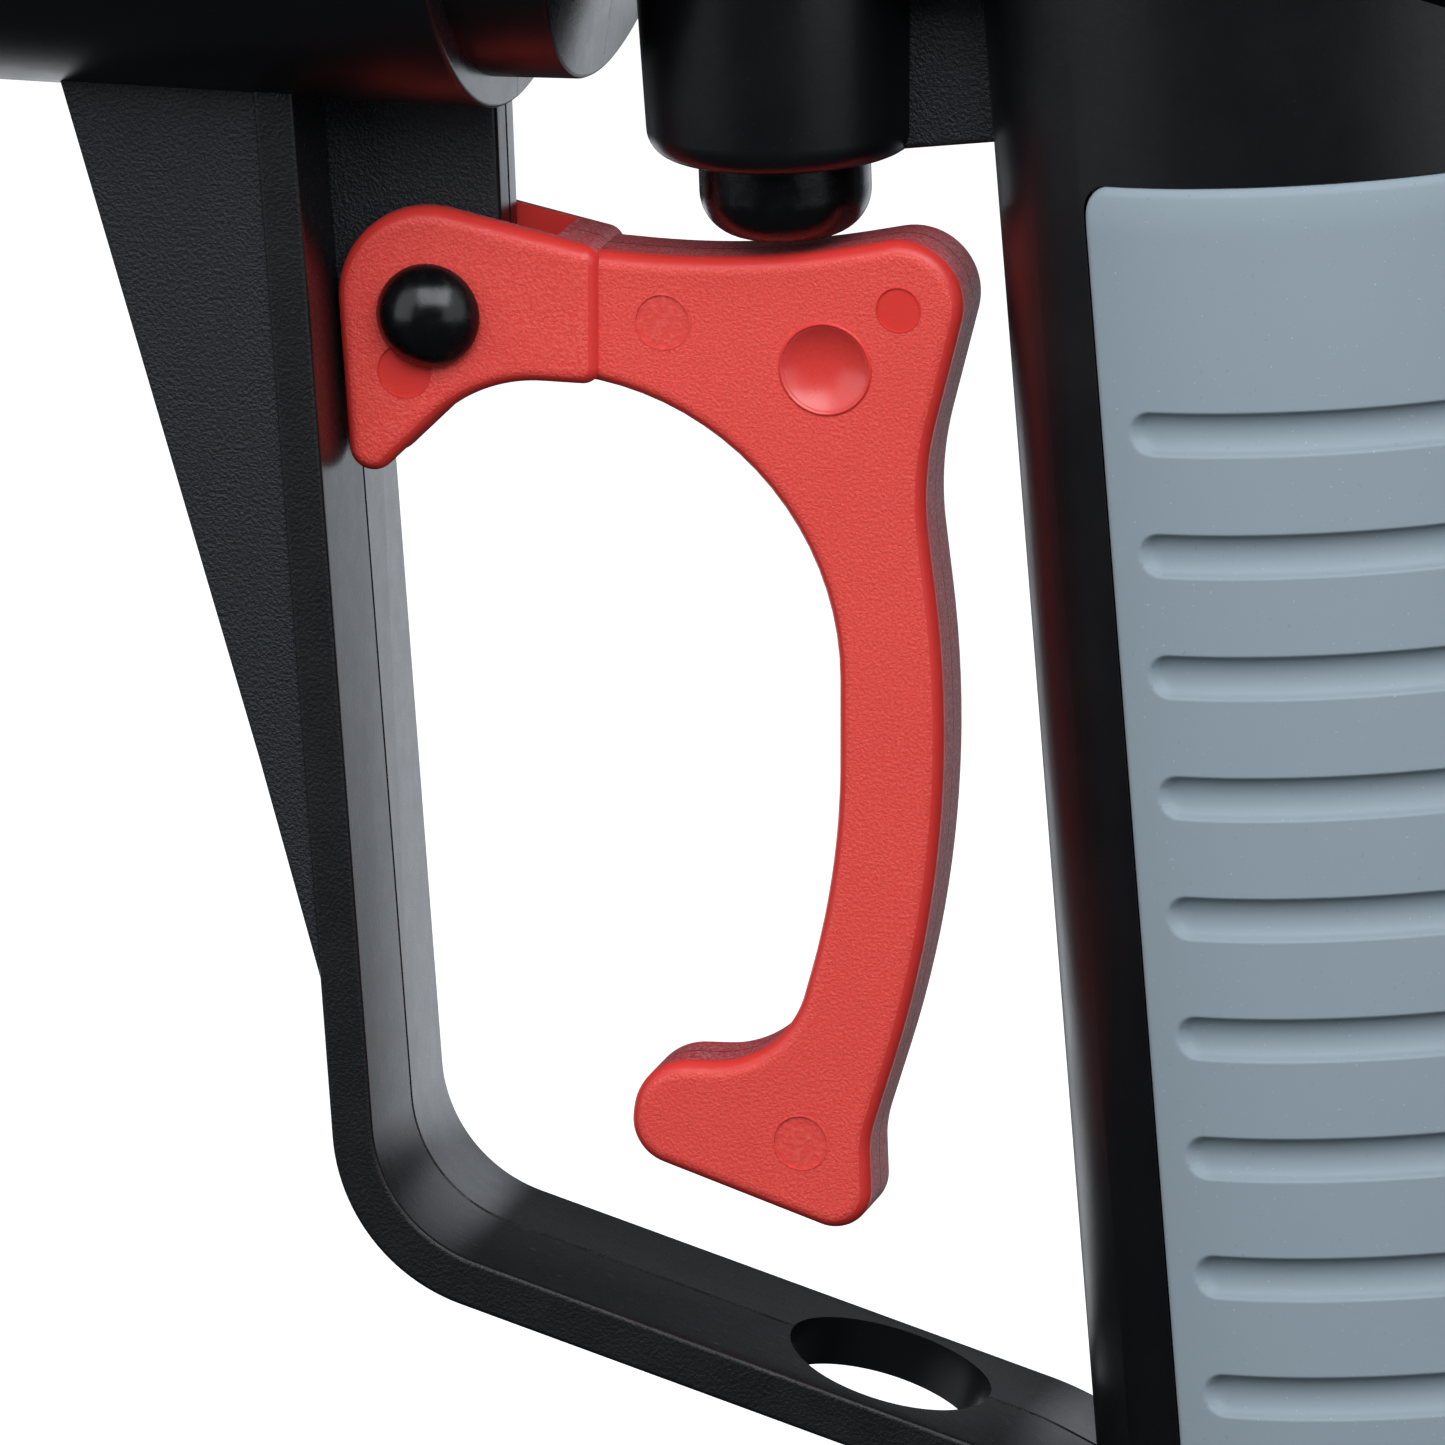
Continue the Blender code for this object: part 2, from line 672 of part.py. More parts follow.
def front_collar(surface):
    """A screw-on ring with grip flutes and a lip that the cartridge's shoulder rests on."""
    rings = []
    profile = [
        (NOZZLE_OPENING_RADIUS, COLLAR_FRONT_X), (COLLAR_RADIUS - 2.0, COLLAR_FRONT_X),
        (COLLAR_RADIUS, COLLAR_FRONT_X + 2.5), (COLLAR_RADIUS, COLLAR_REAR_X - 1.0),
        (COLLAR_RADIUS - 1.0, COLLAR_REAR_X), (TUBE_RADIUS + 0.4, COLLAR_REAR_X),
        (TUBE_RADIUS + 0.4, TUBE_FRONT_X - GAP), (NOZZLE_OPENING_RADIUS, TUBE_FRONT_X - GAP - 0.7),
    ]
    flutes = 12
    count = flutes * 4
    for radius, height in profile:
        ring = []
        for step in range(count):
            angle = 2.0 * math.pi * step / count
            depth = 0.5 * (1.0 - math.cos(angle * flutes)) if radius == COLLAR_RADIUS else 0.0
            ring.append(((radius - depth) * math.cos(angle), (radius - depth) * math.sin(angle), height))
        rings.append(ring)
    return finished(lofted("front_collar", rings, BARREL, closed=True), surface)


def piston(surface):
    """A shallow cup with a seal groove round its skirt; its closed face looks forward."""
    rear = PISTON_REAR_X
    front = rear - PISTON_LENGTH
    radius = TUBE_RADIUS - TUBE_WALL - 0.5
    profile = [
        (0.0, front), (radius - 2.0, front), (radius, front + 2.0), (radius, front + 8.0),
        (radius - 2.2, front + 8.0), (radius - 2.2, front + 11.0), (radius, front + 11.0), (radius, rear),
        (radius - 3.0, rear), (radius - 4.5, front + 4.0), (0.0, front + 4.0),
    ]
    return finished(turned("piston", profile, BARREL, 32), surface)


# ---------------------------------------------------------------- regulator

def regulator_poppet(surface):
    profile = [
        (0.0, 64.0), (2.6, 64.0), (2.6, 66.6), (5.4, 66.6), (5.4, SEAT_X - 0.4), (1.7, SEAT_X - 0.4),
        (1.7, DIAPHRAGM_X), (0.0, DIAPHRAGM_X),
    ]
    return finished(turned("regulator_poppet", profile, BARREL, 20), surface)


def regulator_diaphragm(surface):
    low = DIAPHRAGM_X + GAP
    return finished(rod("regulator_diaphragm", REGULATOR_BORE - GAP, low, low + 1.4, BARREL, 32), surface)


def diaphragm_plate(surface):
    low = DIAPHRAGM_X + 2.0
    profile = [
        (0.0, low), (11.0, low), (11.0, low + 1.4), (6.4, low + 1.4), (6.0, low + 3.2), (0.0, low + 3.2),
    ]
    return finished(turned("diaphragm_plate", profile, BARREL, 24), surface)


def regulator_spring_seat(surface):
    profile = [(3.4, 92.2), (6.0, 92.2), (6.4, 94.6), (11.0, 94.6), (11.0, 96.2), (3.4, 96.2)]
    return finished(turned("regulator_spring_seat", profile, BARREL, 24), surface)


def regulator_spindle(surface):
    profile = [
        (0.0, 88.5), (3.0, 88.5), (3.0, 98.4), (5.5, 98.4),
        (5.5, 100.6), (3.0, 100.6), (3.0, 119.4), (0.0, 119.4),
    ]
    return finished(turned("regulator_spindle", profile, BARREL, 20), surface)


def regulator_bonnet(surface):
    """A threaded cap that clamps the diaphragm and carries the spindle."""
    low = DIAPHRAGM_X + 2.0
    rear = HOUSING_REAR_X + GAP
    profile = [
        (12.4, low), (REGULATOR_BORE - GAP, low), (REGULATOR_BORE - GAP, rear), (20.6, rear),
        (20.6, rear + 1.8), (19.8, rear + 2.6), (3.3, rear + 2.6), (3.3, 101.0), (12.4, 101.0),
    ]
    return finished(turned("regulator_bonnet", profile, BARREL, 32), surface)


def regulator_knob(surface):
    """A lobed knob on the spindle's end."""
    front = HOUSING_REAR_X + 3.3
    rings = []
    count = KNOB_LOBES * 4
    levels = [
        (3.3, front), (15.5, front), (KNOB_RADIUS, front + 1.6), (KNOB_RADIUS, KNOB_REAR_X - 2.4),
        (KNOB_RADIUS - 2.0, KNOB_REAR_X - 0.3), (8.0, KNOB_REAR_X), (3.3, KNOB_REAR_X),
    ]
    for radius, height in levels:
        ring = []
        for step in range(count):
            angle = 2.0 * math.pi * step / count
            depth = 0.7 * (1.0 - math.cos(angle * KNOB_LOBES)) if radius == KNOB_RADIUS else 0.0
            ring.append(((radius - depth) * math.cos(angle), (radius - depth) * math.sin(angle), height))
        rings.append(ring)
    made = lofted("regulator_knob", rings, BARREL, closed=True)
    join(made, rod("knob_crown", 6.0, KNOB_REAR_X - 5.5, KNOB_REAR_X - 0.2, BARREL, 24))
    return finished(made, surface)


# ---------------------------------------------------------------- air inlet and exhaust

def inlet_bush(surface):
    """The threaded bush in the foot of the handle, with a hexagon below it."""
    low = HANDLE_LOW
    made = hexagon("inlet_bush", 20.0, low - 7.0, low - GAP, INLET)
    join(made, rod("bush_thread", 7.7, low - 1.5, low + 12.0, INLET, 28))
    cut(made, rod("bush_bore", 5.3, low - 12.0, low + 16.0, INLET, 24))
    return finished(made, surface)


def inlet_nipple(surface):
    """The plug of a quick coupling, free to turn in the bush."""
    low = HANDLE_LOW
    profile = [
        (2.6, low - 32.0), (3.6, low - 32.0), (4.3, low - 31.0), (4.3, low - 24.5), (5.0, low - 23.5),
        (5.0, low - 20.5), (3.9, low - 19.5), (3.9, low - 17.0), (5.9, low - 15.6), (5.9, low - 10.5),
        (8.6, low - 10.0), (8.6, low - 7.3), (4.9, low - 7.3), (4.9, low + 1.4), (4.0, low + 1.4),
        (4.0, low + 3.2), (4.9, low + 3.2), (4.9, low + 11.0), (2.6, low + 11.0),
    ]
    return finished(turned("inlet_nipple", profile, INLET, 18), surface)


def inlet_filter(surface):
    low = HANDLE_LOW + 12.4
    made = rod("inlet_filter", 7.7, low, low + 1.2, INLET, 26)
    holes = 7
    for index in range(holes):
        angle = 2.0 * math.pi * (index + 0.3) / holes
        place = Matrix.Translation(Vector((math.cos(angle), math.sin(angle), 0.0)) * 3.4 * MM)
        cut(made, rod("mesh_hole", 0.9, low - 2.0, low + 3.0, INLET @ place, 8))
    return finished(made, surface)


def exhaust_silencer(surface):
    """A porous plug over the exhaust duct, with a screwdriver slot."""
    low = HANDLE_LOW
    profile = [
        (0.0, low - 5.0), (5.0, low - 5.0), (7.2, low - 2.6), (7.2, low - GAP), (6.0, low - GAP),
        (6.0, low + 8.0), (3.6, low + 8.0), (3.6, low + 1.0), (0.0, low + 1.0),
    ]
    made = turned("exhaust_silencer", profile, EXHAUST, 20)
    slot = [(-9.0, low - 8.0), (9.0, low - 8.0), (9.0, low - 3.8), (-9.0, low - 3.8)]
    cut(made, slab("driver_slot", slot, 0.7, EXHAUST))
    return finished(made, surface)


# ---------------------------------------------------------------- assembly

def clear_scene():
    for item in list(bpy.data.objects):
        bpy.data.objects.remove(item)


def centred_parent(pieces):
    """An empty that holds every piece and puts the middle of their box at the origin."""
    bpy.context.view_layer.update()
    corners = [piece.matrix_world @ vertex.co for piece in pieces for vertex in piece.data.vertices]
    middle = Vector()
    for axis in range(3):
        values = [corner[axis] for corner in corners]
        middle[axis] = (min(values) + max(values)) / 2.0
    gun = bpy.data.objects.new("gun", None)
    bpy.context.collection.objects.link(gun)
    for piece in pieces:
        piece.parent = gun
    gun.location = -middle
    return gun


def build():
    clear_scene()
    black = material("black_moulding", (0.010, 0.011, 0.013), 0.42)
    red = material("red_moulding", (0.62, 0.035, 0.025), 0.42)
    grey = material("grey_rubber", (0.24, 0.29, 0.33), 0.62)
    gloss = material("gloss_black", (0.006, 0.006, 0.007), 0.16)
    alloy = material("anodised_alloy", (0.60, 0.61, 0.63), 0.34, 1.0)
    brass = material("brass", (0.72, 0.53, 0.25), 0.30, 1.0)
    steel = material("steel", (0.58, 0.58, 0.60), 0.28, 1.0)
    seal = material("seal_rubber", (0.012, 0.012, 0.012), 0.55)
    bronze = material("sintered_bronze", (0.48, 0.33, 0.16), 0.60, 1.0)
    white = material("piston_plastic", (0.72, 0.72, 0.70), 0.45)

    seal_radius = 4.95
    pieces = [
        body_moulding(black),
        grip_overmould(grey),
        trigger(red),
        trigger_pin(gloss),
        trigger_pin_cap(gloss),
        valve_plunger(gloss),
        valve_sleeve(brass),
        valve_spool(alloy),
        o_ring("spool_seal_lower", seal_radius, 0.6, 14.8, VALVE, seal),
        o_ring("spool_seal_upper", seal_radius, 0.6, 32.0, VALVE, seal),
        finished(coil("valve_spring", 4.4, 0.55, 37.0, 54.1, 5.0, VALVE), steel),
        valve_top_plug(alloy),
        barrel_tube(alloy),
        barrel_rear_seal(seal),
        front_collar(black),
        piston(white),
        o_ring("piston_seal", 26.95, 1.15, PISTON_REAR_X - PISTON_LENGTH + 9.5, BARREL, seal, 36, 5),
        regulator_poppet(brass),
        finished(coil("poppet_spring", 4.3, 0.45, 56.3, 66.3, 4.0, BARREL, 10), steel),
        regulator_diaphragm(seal),
        diaphragm_plate(alloy),
        finished(coil("regulator_spring", 8.2, 0.9, 79.3, 94.3, 4.0, BARREL, 14), steel),
        regulator_spring_seat(steel),
        regulator_spindle(steel),
        regulator_bonnet(alloy),
        regulator_knob(black),
        inlet_bush(brass),
        inlet_nipple(steel),
        o_ring("inlet_seal", 4.63, 0.5, HANDLE_LOW + 2.3, INLET, seal),
        inlet_filter(bronze),
        exhaust_silencer(bronze),
    ]
    centred_parent(pieces)


build()
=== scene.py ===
"""The looks of an air-powered caulking gun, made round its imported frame.

Sizes are millimetres in the design frame: the trigger pivot is the origin, the muzzle points
along -X, +Z is up, and Y = 0 is the plane that the two halves of the mould meet in. Each frame
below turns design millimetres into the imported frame's metres.
"""

import bisect
import json
from math import asin, atan, atan2, cos, hypot, pi, radians, sin, sqrt, tan

import bmesh
import bpy
from mathutils import Matrix, Vector

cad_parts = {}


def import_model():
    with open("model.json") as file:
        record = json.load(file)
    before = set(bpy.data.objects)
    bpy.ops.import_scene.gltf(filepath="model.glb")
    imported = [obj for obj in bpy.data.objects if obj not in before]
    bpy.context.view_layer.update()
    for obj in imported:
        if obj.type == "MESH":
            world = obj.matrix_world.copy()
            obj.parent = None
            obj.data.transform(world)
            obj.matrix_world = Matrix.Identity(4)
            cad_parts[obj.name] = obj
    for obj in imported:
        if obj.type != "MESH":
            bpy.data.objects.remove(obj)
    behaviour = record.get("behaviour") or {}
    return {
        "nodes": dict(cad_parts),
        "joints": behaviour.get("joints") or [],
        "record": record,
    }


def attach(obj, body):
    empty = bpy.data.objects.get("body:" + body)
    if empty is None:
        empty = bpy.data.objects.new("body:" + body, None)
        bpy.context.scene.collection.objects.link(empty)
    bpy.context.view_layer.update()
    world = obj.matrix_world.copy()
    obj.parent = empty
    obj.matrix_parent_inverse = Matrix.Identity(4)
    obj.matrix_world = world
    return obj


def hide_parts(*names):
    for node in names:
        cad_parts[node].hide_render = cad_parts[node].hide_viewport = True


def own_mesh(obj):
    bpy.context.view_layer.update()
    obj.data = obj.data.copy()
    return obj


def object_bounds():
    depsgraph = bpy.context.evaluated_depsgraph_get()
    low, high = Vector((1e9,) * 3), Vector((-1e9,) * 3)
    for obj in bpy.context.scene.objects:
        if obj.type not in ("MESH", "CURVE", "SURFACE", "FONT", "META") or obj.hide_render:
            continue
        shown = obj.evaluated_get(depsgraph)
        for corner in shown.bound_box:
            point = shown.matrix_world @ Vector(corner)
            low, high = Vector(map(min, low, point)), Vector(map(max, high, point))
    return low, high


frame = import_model()
CAD_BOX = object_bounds()
JOINTS = {joint["name"]: joint for joint in frame["joints"]}
BODIES = frame["record"]["behaviour"]["bodies"]
BODY_OF = {node: body for body, nodes in BODIES.items() for node in nodes}
SLOT_OF = {entry["node"]: entry["material_slot"] for entry in frame["record"]["subparts"]}

MM = 0.001
GAP = 0.3  # clearance between pieces that rest on each other
RIM_BORDER = 0.08  # narrow ring round a flat face that keeps its shading flat

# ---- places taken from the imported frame
PIVOT = Vector(JOINTS["trigger_pull"]["pos_m"])
BARREL_Z = (JOINTS["regulator_knob_turn"]["pos_m"][2] - PIVOT.z) / MM
INLET_AXIS = Vector(JOINTS["inlet_swivel"]["axis"])
VALVE_AXIS = Vector(JOINTS["valve_stem_slide"]["axis"])

# ---- barrel and cup
CUP_RADIUS = 35.34
CUP_FRONT_X = -78.0
CUP_REAR_X = 6.8
CUP_SEAT_X = 1.5
NECK_RADIUS = 32.6
NECK_END_RADIUS = 32.2
NECK_END_X = 14.7
NECK_END_LEAN = radians(8.5)
TUBE_RADIUS = 30.0
TUBE_WALL = 1.6
TUBE_FRONT_X = -233.0
TUBE_REAR_X = -2.0
COLLAR_FRONT_X = -238.0
COLLAR_REAR_X = -212.0
COLLAR_RADIUS = 33.4
NOZZLE_OPENING_RADIUS = 14.0
HOUSING_RADIUS = 23.0
HOUSING_REAR_X = 106.0
BODY_TOP = BARREL_Z - 28.0  # where the gusset and the tongue end, inside the cup

# ---- guard
BAND_HALF = 11.95
BAND_DRAFT = tan(radians(1.8))
STRUT_THICKNESS = 4.05
BAR_THICKNESS = 4.85
STRUT_FOOT = (-3.17, -84.57)
STRUT_LEAN = 0.0721
BAR_FALL = tan(radians(16.2))
GUARD_INNER_CORNER = 13.0
PARTING_GROOVE = 0.17
BAR_BEND_X = 56.5
BAR_END = (68.0, -107.2)
HOLE_CENTRE = (42.0, -97.7)
HOLE_RADIUS = 9.6
GUSSET_HALF = 11.55
GUSSET_WALL = 2.8
GUSSET_TIP_Z = -61.8
TONGUE_HALF = 3.1
TONGUE_FOOT_Z = -7.4

# ---- trigger
TRIGGER_HALF = 4.5
EAR_HALF = 5.5
EAR_SLOT_HALF = 3.45
EAR_REAR_X = 15.7
EAR_CLEARANCE = 0.38  # from the ears' front ends to the strut
TRIGGER_FILLET = 1.5
PIN_RADIUS = 2.4
PIN_HEAD_RADIUS = 4.8
PIN_HEAD_HEIGHT = 3.0
PIN_HEAD_RIM = 0.5
PIN_FACE = EAR_HALF + GAP  # where the pin's heads start
DIMPLE_CENTRE = (36.8, -3.0)
DIMPLE_RADIUS = 3.9
DIMPLE_BALL_RADIUS = 7.0

# ---- valve
VALVE_FOOT = (31.8, 15.95)
VALVE_LEAN = asin(-VALVE_AXIS.x)
VALVE_FOOT_RADIUS = 12.4
VALVE_TOP = 63.9
VALVE_BORE = 9.4
PLUNGER_RADIUS = 7.8
PLUNGER_BOTTOM = -7.6
PLUNGER_CORNER = 4.2
VALVE_FOOT_CORNER = 2.6

# ---- handle
HANDLE_TOP = (76.94, 22.64)
HANDLE_LEAN = asin(INLET_AXIS.x)
HANDLE_FRONT = 25.5
HANDLE_BACK = 28.5
HANDLE_HALF = 18.0
HANDLE_LOW = -150.0
HANDLE_HIGH = 24.0
GRIP_PROUD = 0.9
GRIP_DEPTH = 1.6
GRIP_FRONT = -14.2
GRIP_LOW = -139.0
GRIP_HIGH = -3.4
GRIP_CORNER = 2.6
GRIP_RIM = 0.9  # rounding of the grip's rims
GRIP_TUCK = 0.6  # how far the outermost points go into the recess
GRIP_ROLL = 4.2  # the grip's surface starts to roll over this far below its top edge
GRIP_ROLL_DEPTH = 0.5
GROOVE_PITCH = 11.15
GROOVE_COUNT = 10
GROOVE_FIRST = -25.7  # height of the highest groove's middle, along the handle
GROOVE_HALF = 1.95
GROOVE_DEPTH = 1.25
GROOVE_LIP = 0.4
GROOVE_MARGIN = 3.7  # from the grip's front edge to the end of a groove
INLET_U = -9.0
EXHAUST_U = 13.0
EXHAUST_Y = 3.0

# ---- regulator
SEAT_X = 70.0
DIAPHRAGM_X = 75.5
REGULATOR_BORE = 16.4
KNOB_REAR_X = 126.0
KNOB_RADIUS = 18.0
KNOB_LOBES = 12

# ---- how far the springs and the diaphragm close up
VALVE_TRAVEL = 3.9
SEAT_TRAVEL = 3.1
POPPET_TRAVEL = 0.5


# ======== frames

def spot(x, z):
    """A place in the plane Y = 0."""
    return PIVOT + Vector((x, 0.0, z)) * MM


def leaning_frame(foot, lean, along=0.0, side=0.0):
    """A frame in the XZ plane whose Z axis is upright but for a lean towards the muzzle."""
    turn = Matrix.Rotation(-lean, 4, "Y")
    shift = Matrix.Translation(Vector((along, side, 0.0)) * MM)
    return Matrix.Translation(spot(*foot)) @ turn @ shift


def cross_frame(x=0.0, z=0.0, side=1.0):
    """Z runs along -Y, out of the near side of the trigger, or along +Y with side -1."""
    turn = Matrix.Rotation(radians(90.0) * side, 4, "X")
    return Matrix.Translation(spot(x, z)) @ turn


DESIGN = Matrix.Translation(PIVOT)
VALVE = leaning_frame(VALVE_FOOT, VALVE_LEAN)
HANDLE = leaning_frame(HANDLE_TOP, HANDLE_LEAN)
INLET = leaning_frame(HANDLE_TOP, HANDLE_LEAN, INLET_U)
EXHAUST = leaning_frame(HANDLE_TOP, HANDLE_LEAN, EXHAUST_U, EXHAUST_Y)
BARREL_CENTRE = PIVOT + Vector((0.0, 0.0, BARREL_Z * MM))
BARREL = Matrix.Translation(BARREL_CENTRE) @ Matrix.Rotation(radians(90.0), 4, "Y")


# ======== outlines

def rounded(corners, steps=12):
    """Corners (a, b, fillet radius) of a closed outline, with each fillet drawn as an arc."""
    points = []
    count = len(corners)
    for index, (a, b, radius) in enumerate(corners):
        here = Vector((a, b))
        if radius <= 0.0:
            points.append((a, b))
            continue
        before = Vector(corners[index - 1][:2]) - here
        after = Vector(corners[(index + 1) % count][:2]) - here
        half = before.angle(after) / 2.0
        start = here + before.normalized() * radius / tan(half)
        bisector = (before.normalized() + after.normalized()).normalized()
        centre = here + bisector * (radius / sin(half))
        turn = pi - 2.0 * half
        if before.cross(after) > 0.0:
            turn = -turn
        spoke = start - centre
        for step in range(steps + 1):
            point = centre + Matrix.Rotation(turn * step / steps, 2) @ spoke
            points.append((point.x, point.y))
    return points


def inset(outline, distance):
    """Moves each point of an anticlockwise outline inwards, square to the outline."""
    moved = []
    count = len(outline)
    for index in range(count):
        here = Vector(outline[index])
        before = (here - Vector(outline[index - 1])).normalized()
        after = (Vector(outline[(index + 1) % count]) - here).normalized()
        along = (before + after).normalized()
        reach = distance / max(along.dot(after), 0.5)
        moved.append((here.x - along.y * reach, here.y + along.x * reach))
    return moved


def anticlockwise(outline):
    area = sum(a[0] * b[1] - b[0] * a[1] for a, b in zip(outline, outline[1:] + outline[:1]))
    return outline if area > 0.0 else outline[::-1]


def arc_profile(radius, height, corner, start, end, steps):
    """Points of (radius, height) on an arc about a centre, between two angles in degrees."""
    points = []
    for step in range(steps + 1):
        angle = radians(start + (end - start) * step / steps)
        points.append((radius + corner * cos(angle), height + corner * sin(angle)))
    return points


# ======== solids

def add_object(name, data):
    made = bpy.data.objects.new(name, data)
    bpy.context.scene.collection.objects.link(made)
    return made


def solid(name, points, faces, place, surfaces, indices=None):
    mesh = bpy.data.meshes.new(name)
    mesh.from_pydata([place @ (Vector(point) * MM) for point in points], [], faces)
    for surface in surfaces:
        mesh.materials.append(surface)
    if indices:
        mesh.polygons.foreach_set("material_index", indices)
    work = bmesh.new()
    work.from_mesh(mesh)
    bmesh.ops.recalc_face_normals(work, faces=work.faces)
    work.to_mesh(mesh)
    work.free()
    return add_object(name, mesh)


def lofted(name, rings, place, surfaces, closed=False, span_index=None, cap_index=0):
    """A skin through rings of equally many points, with flat ends unless it closes on itself."""
    count = len(rings[0])
    points = [point for ring in rings for point in ring]
    faces = []
    indices = []
    spans = len(rings) if closed else len(rings) - 1
    for span in range(spans):
        low = span * count
        high = (span + 1) % len(rings) * count
        for index in range(count):
            following = (index + 1) % count
            faces.append((low + index, low + following, high + following, high + index))
            indices.append(span_index(span) if span_index else 0)
    if not closed:
        faces.append(tuple(range(count))[::-1])
        faces.append(tuple(range((len(rings) - 1) * count, len(rings) * count)))
        indices += [cap_index, cap_index]
    return solid(name, points, faces, place, surfaces, indices)


def round_steps(count):
    """Angles that stand half a step off the axes, so that no point of a ring has Y = 0."""
    return [2.0 * pi * (step + 0.5) / count for step in range(count)]


def turned(name, profile, place, surface, segments):
    """A profile of (radius, height) turned about Z, closed on itself if it stays off the axis."""
    rings = []
    on_axis = profile[0][0] < 1e-6
    for radius, height in (profile[1:-1] if on_axis else profile):
        ring = []
        for angle in round_steps(segments):
            ring.append((radius * cos(angle), radius * sin(angle), height))
        rings.append(ring)
    return lofted(name, rings, place, [surface], closed=not on_axis)


def rod(name, radius, low, high, place, surface, segments=64):
    profile = [(0.0, low), (radius, low), (radius, high), (0.0, high)]
    return turned(name, profile, place, surface, segments)


def slab(name, outline, levels, place, surfaces, span_index=None):
    """An (x, z) outline lofted through levels of (y, inset), mirrored past Y = 0."""
    outline = anticlockwise(outline)
    both = levels + [(-y, depth) for y, depth in reversed(levels) if y < 0.0]
    rings = [[(x, y, z) for x, z in inset(outline, depth)] for y, depth in both]
    middle = (len(both) - 1) / 2.0

    def layer(span):
        return span_index(int(middle - abs(span + 0.5 - middle)))

    return lofted(name, rings, place, surfaces, span_index=layer if span_index else None)


def rim_levels(half, fillet, steps, draft=0.0, groove=0.0):
    """Levels of a plate: a rounded rim, then a side that swells by a draft towards Y = 0.

    The first level is the narrow border, and the groove is the fine line where the two halves of
    the mould meet.
    """
    levels = [(-half, fillet + RIM_BORDER)]
    for step in range(steps + 1):
        angle = pi / 2.0 * step / steps
        levels.append((-half + fillet * (1.0 - cos(angle)), fillet * (1.0 - sin(angle))))
    swell = (half - fillet) * draft / 2.0
    levels = [(y, depth + swell) for y, depth in levels]
    if groove > 0.0:
        levels.append((-groove * 1.5, -swell))
        return levels + [(0.0, groove - swell)]
    return levels + [(0.0, -swell)]


def hexagon(name, across_flats, low, high, place, surface):
    radius = across_flats / sqrt(3.0)
    edge = 0.5
    profile = [
        (0.0, low), (radius - edge, low), (radius, low + edge),
        (radius, high - edge), (radius - edge, high), (0.0, high),
    ]
    return turned(name, profile, place, surface, 6)


# ======== joining and cutting

def combine(target, tool, operation):
    step = target.modifiers.new(operation.lower(), "BOOLEAN")
    step.operation = operation
    step.solver = "EXACT"
    step.material_mode = "TRANSFER"
    step.object = tool
    bpy.context.view_layer.update()
    view = bpy.context.evaluated_depsgraph_get()
    result = bpy.data.meshes.new_from_object(target.evaluated_get(view))
    target.modifiers.clear()
    old = target.data
    target.data = result
    bpy.data.meshes.remove(old)
    bpy.data.objects.remove(tool)


def join(target, *tools):
    for tool in tools:
        combine(target, tool, "UNION")


def cut(target, *tools):
    for tool in tools:
        combine(target, tool, "DIFFERENCE")


def stands_for(piece, node, angle=32.0):
    """Finishes a piece that is shown in place of a CAD node."""
    piece.data.shade_smooth()
    piece.data.set_sharp_from_angle(angle=radians(angle))
    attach(piece, BODY_OF[node])
    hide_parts(node)
    return piece


# ======== materials

def set_inputs(tree, node, inputs):
    """Gives each named input of a node a value, or links it to another node's output."""
    for key, value in inputs.items():
        if isinstance(value, bpy.types.NodeSocket):
            tree.links.new(value, node.inputs[key])
        else:
            node.inputs[key].default_value = value


def add_node(tree, kind, inputs, **settings):
    made = tree.nodes.new(kind)
    for key, value in settings.items():
        setattr(made, key, value)
    set_inputs(tree, made, inputs)
    return made


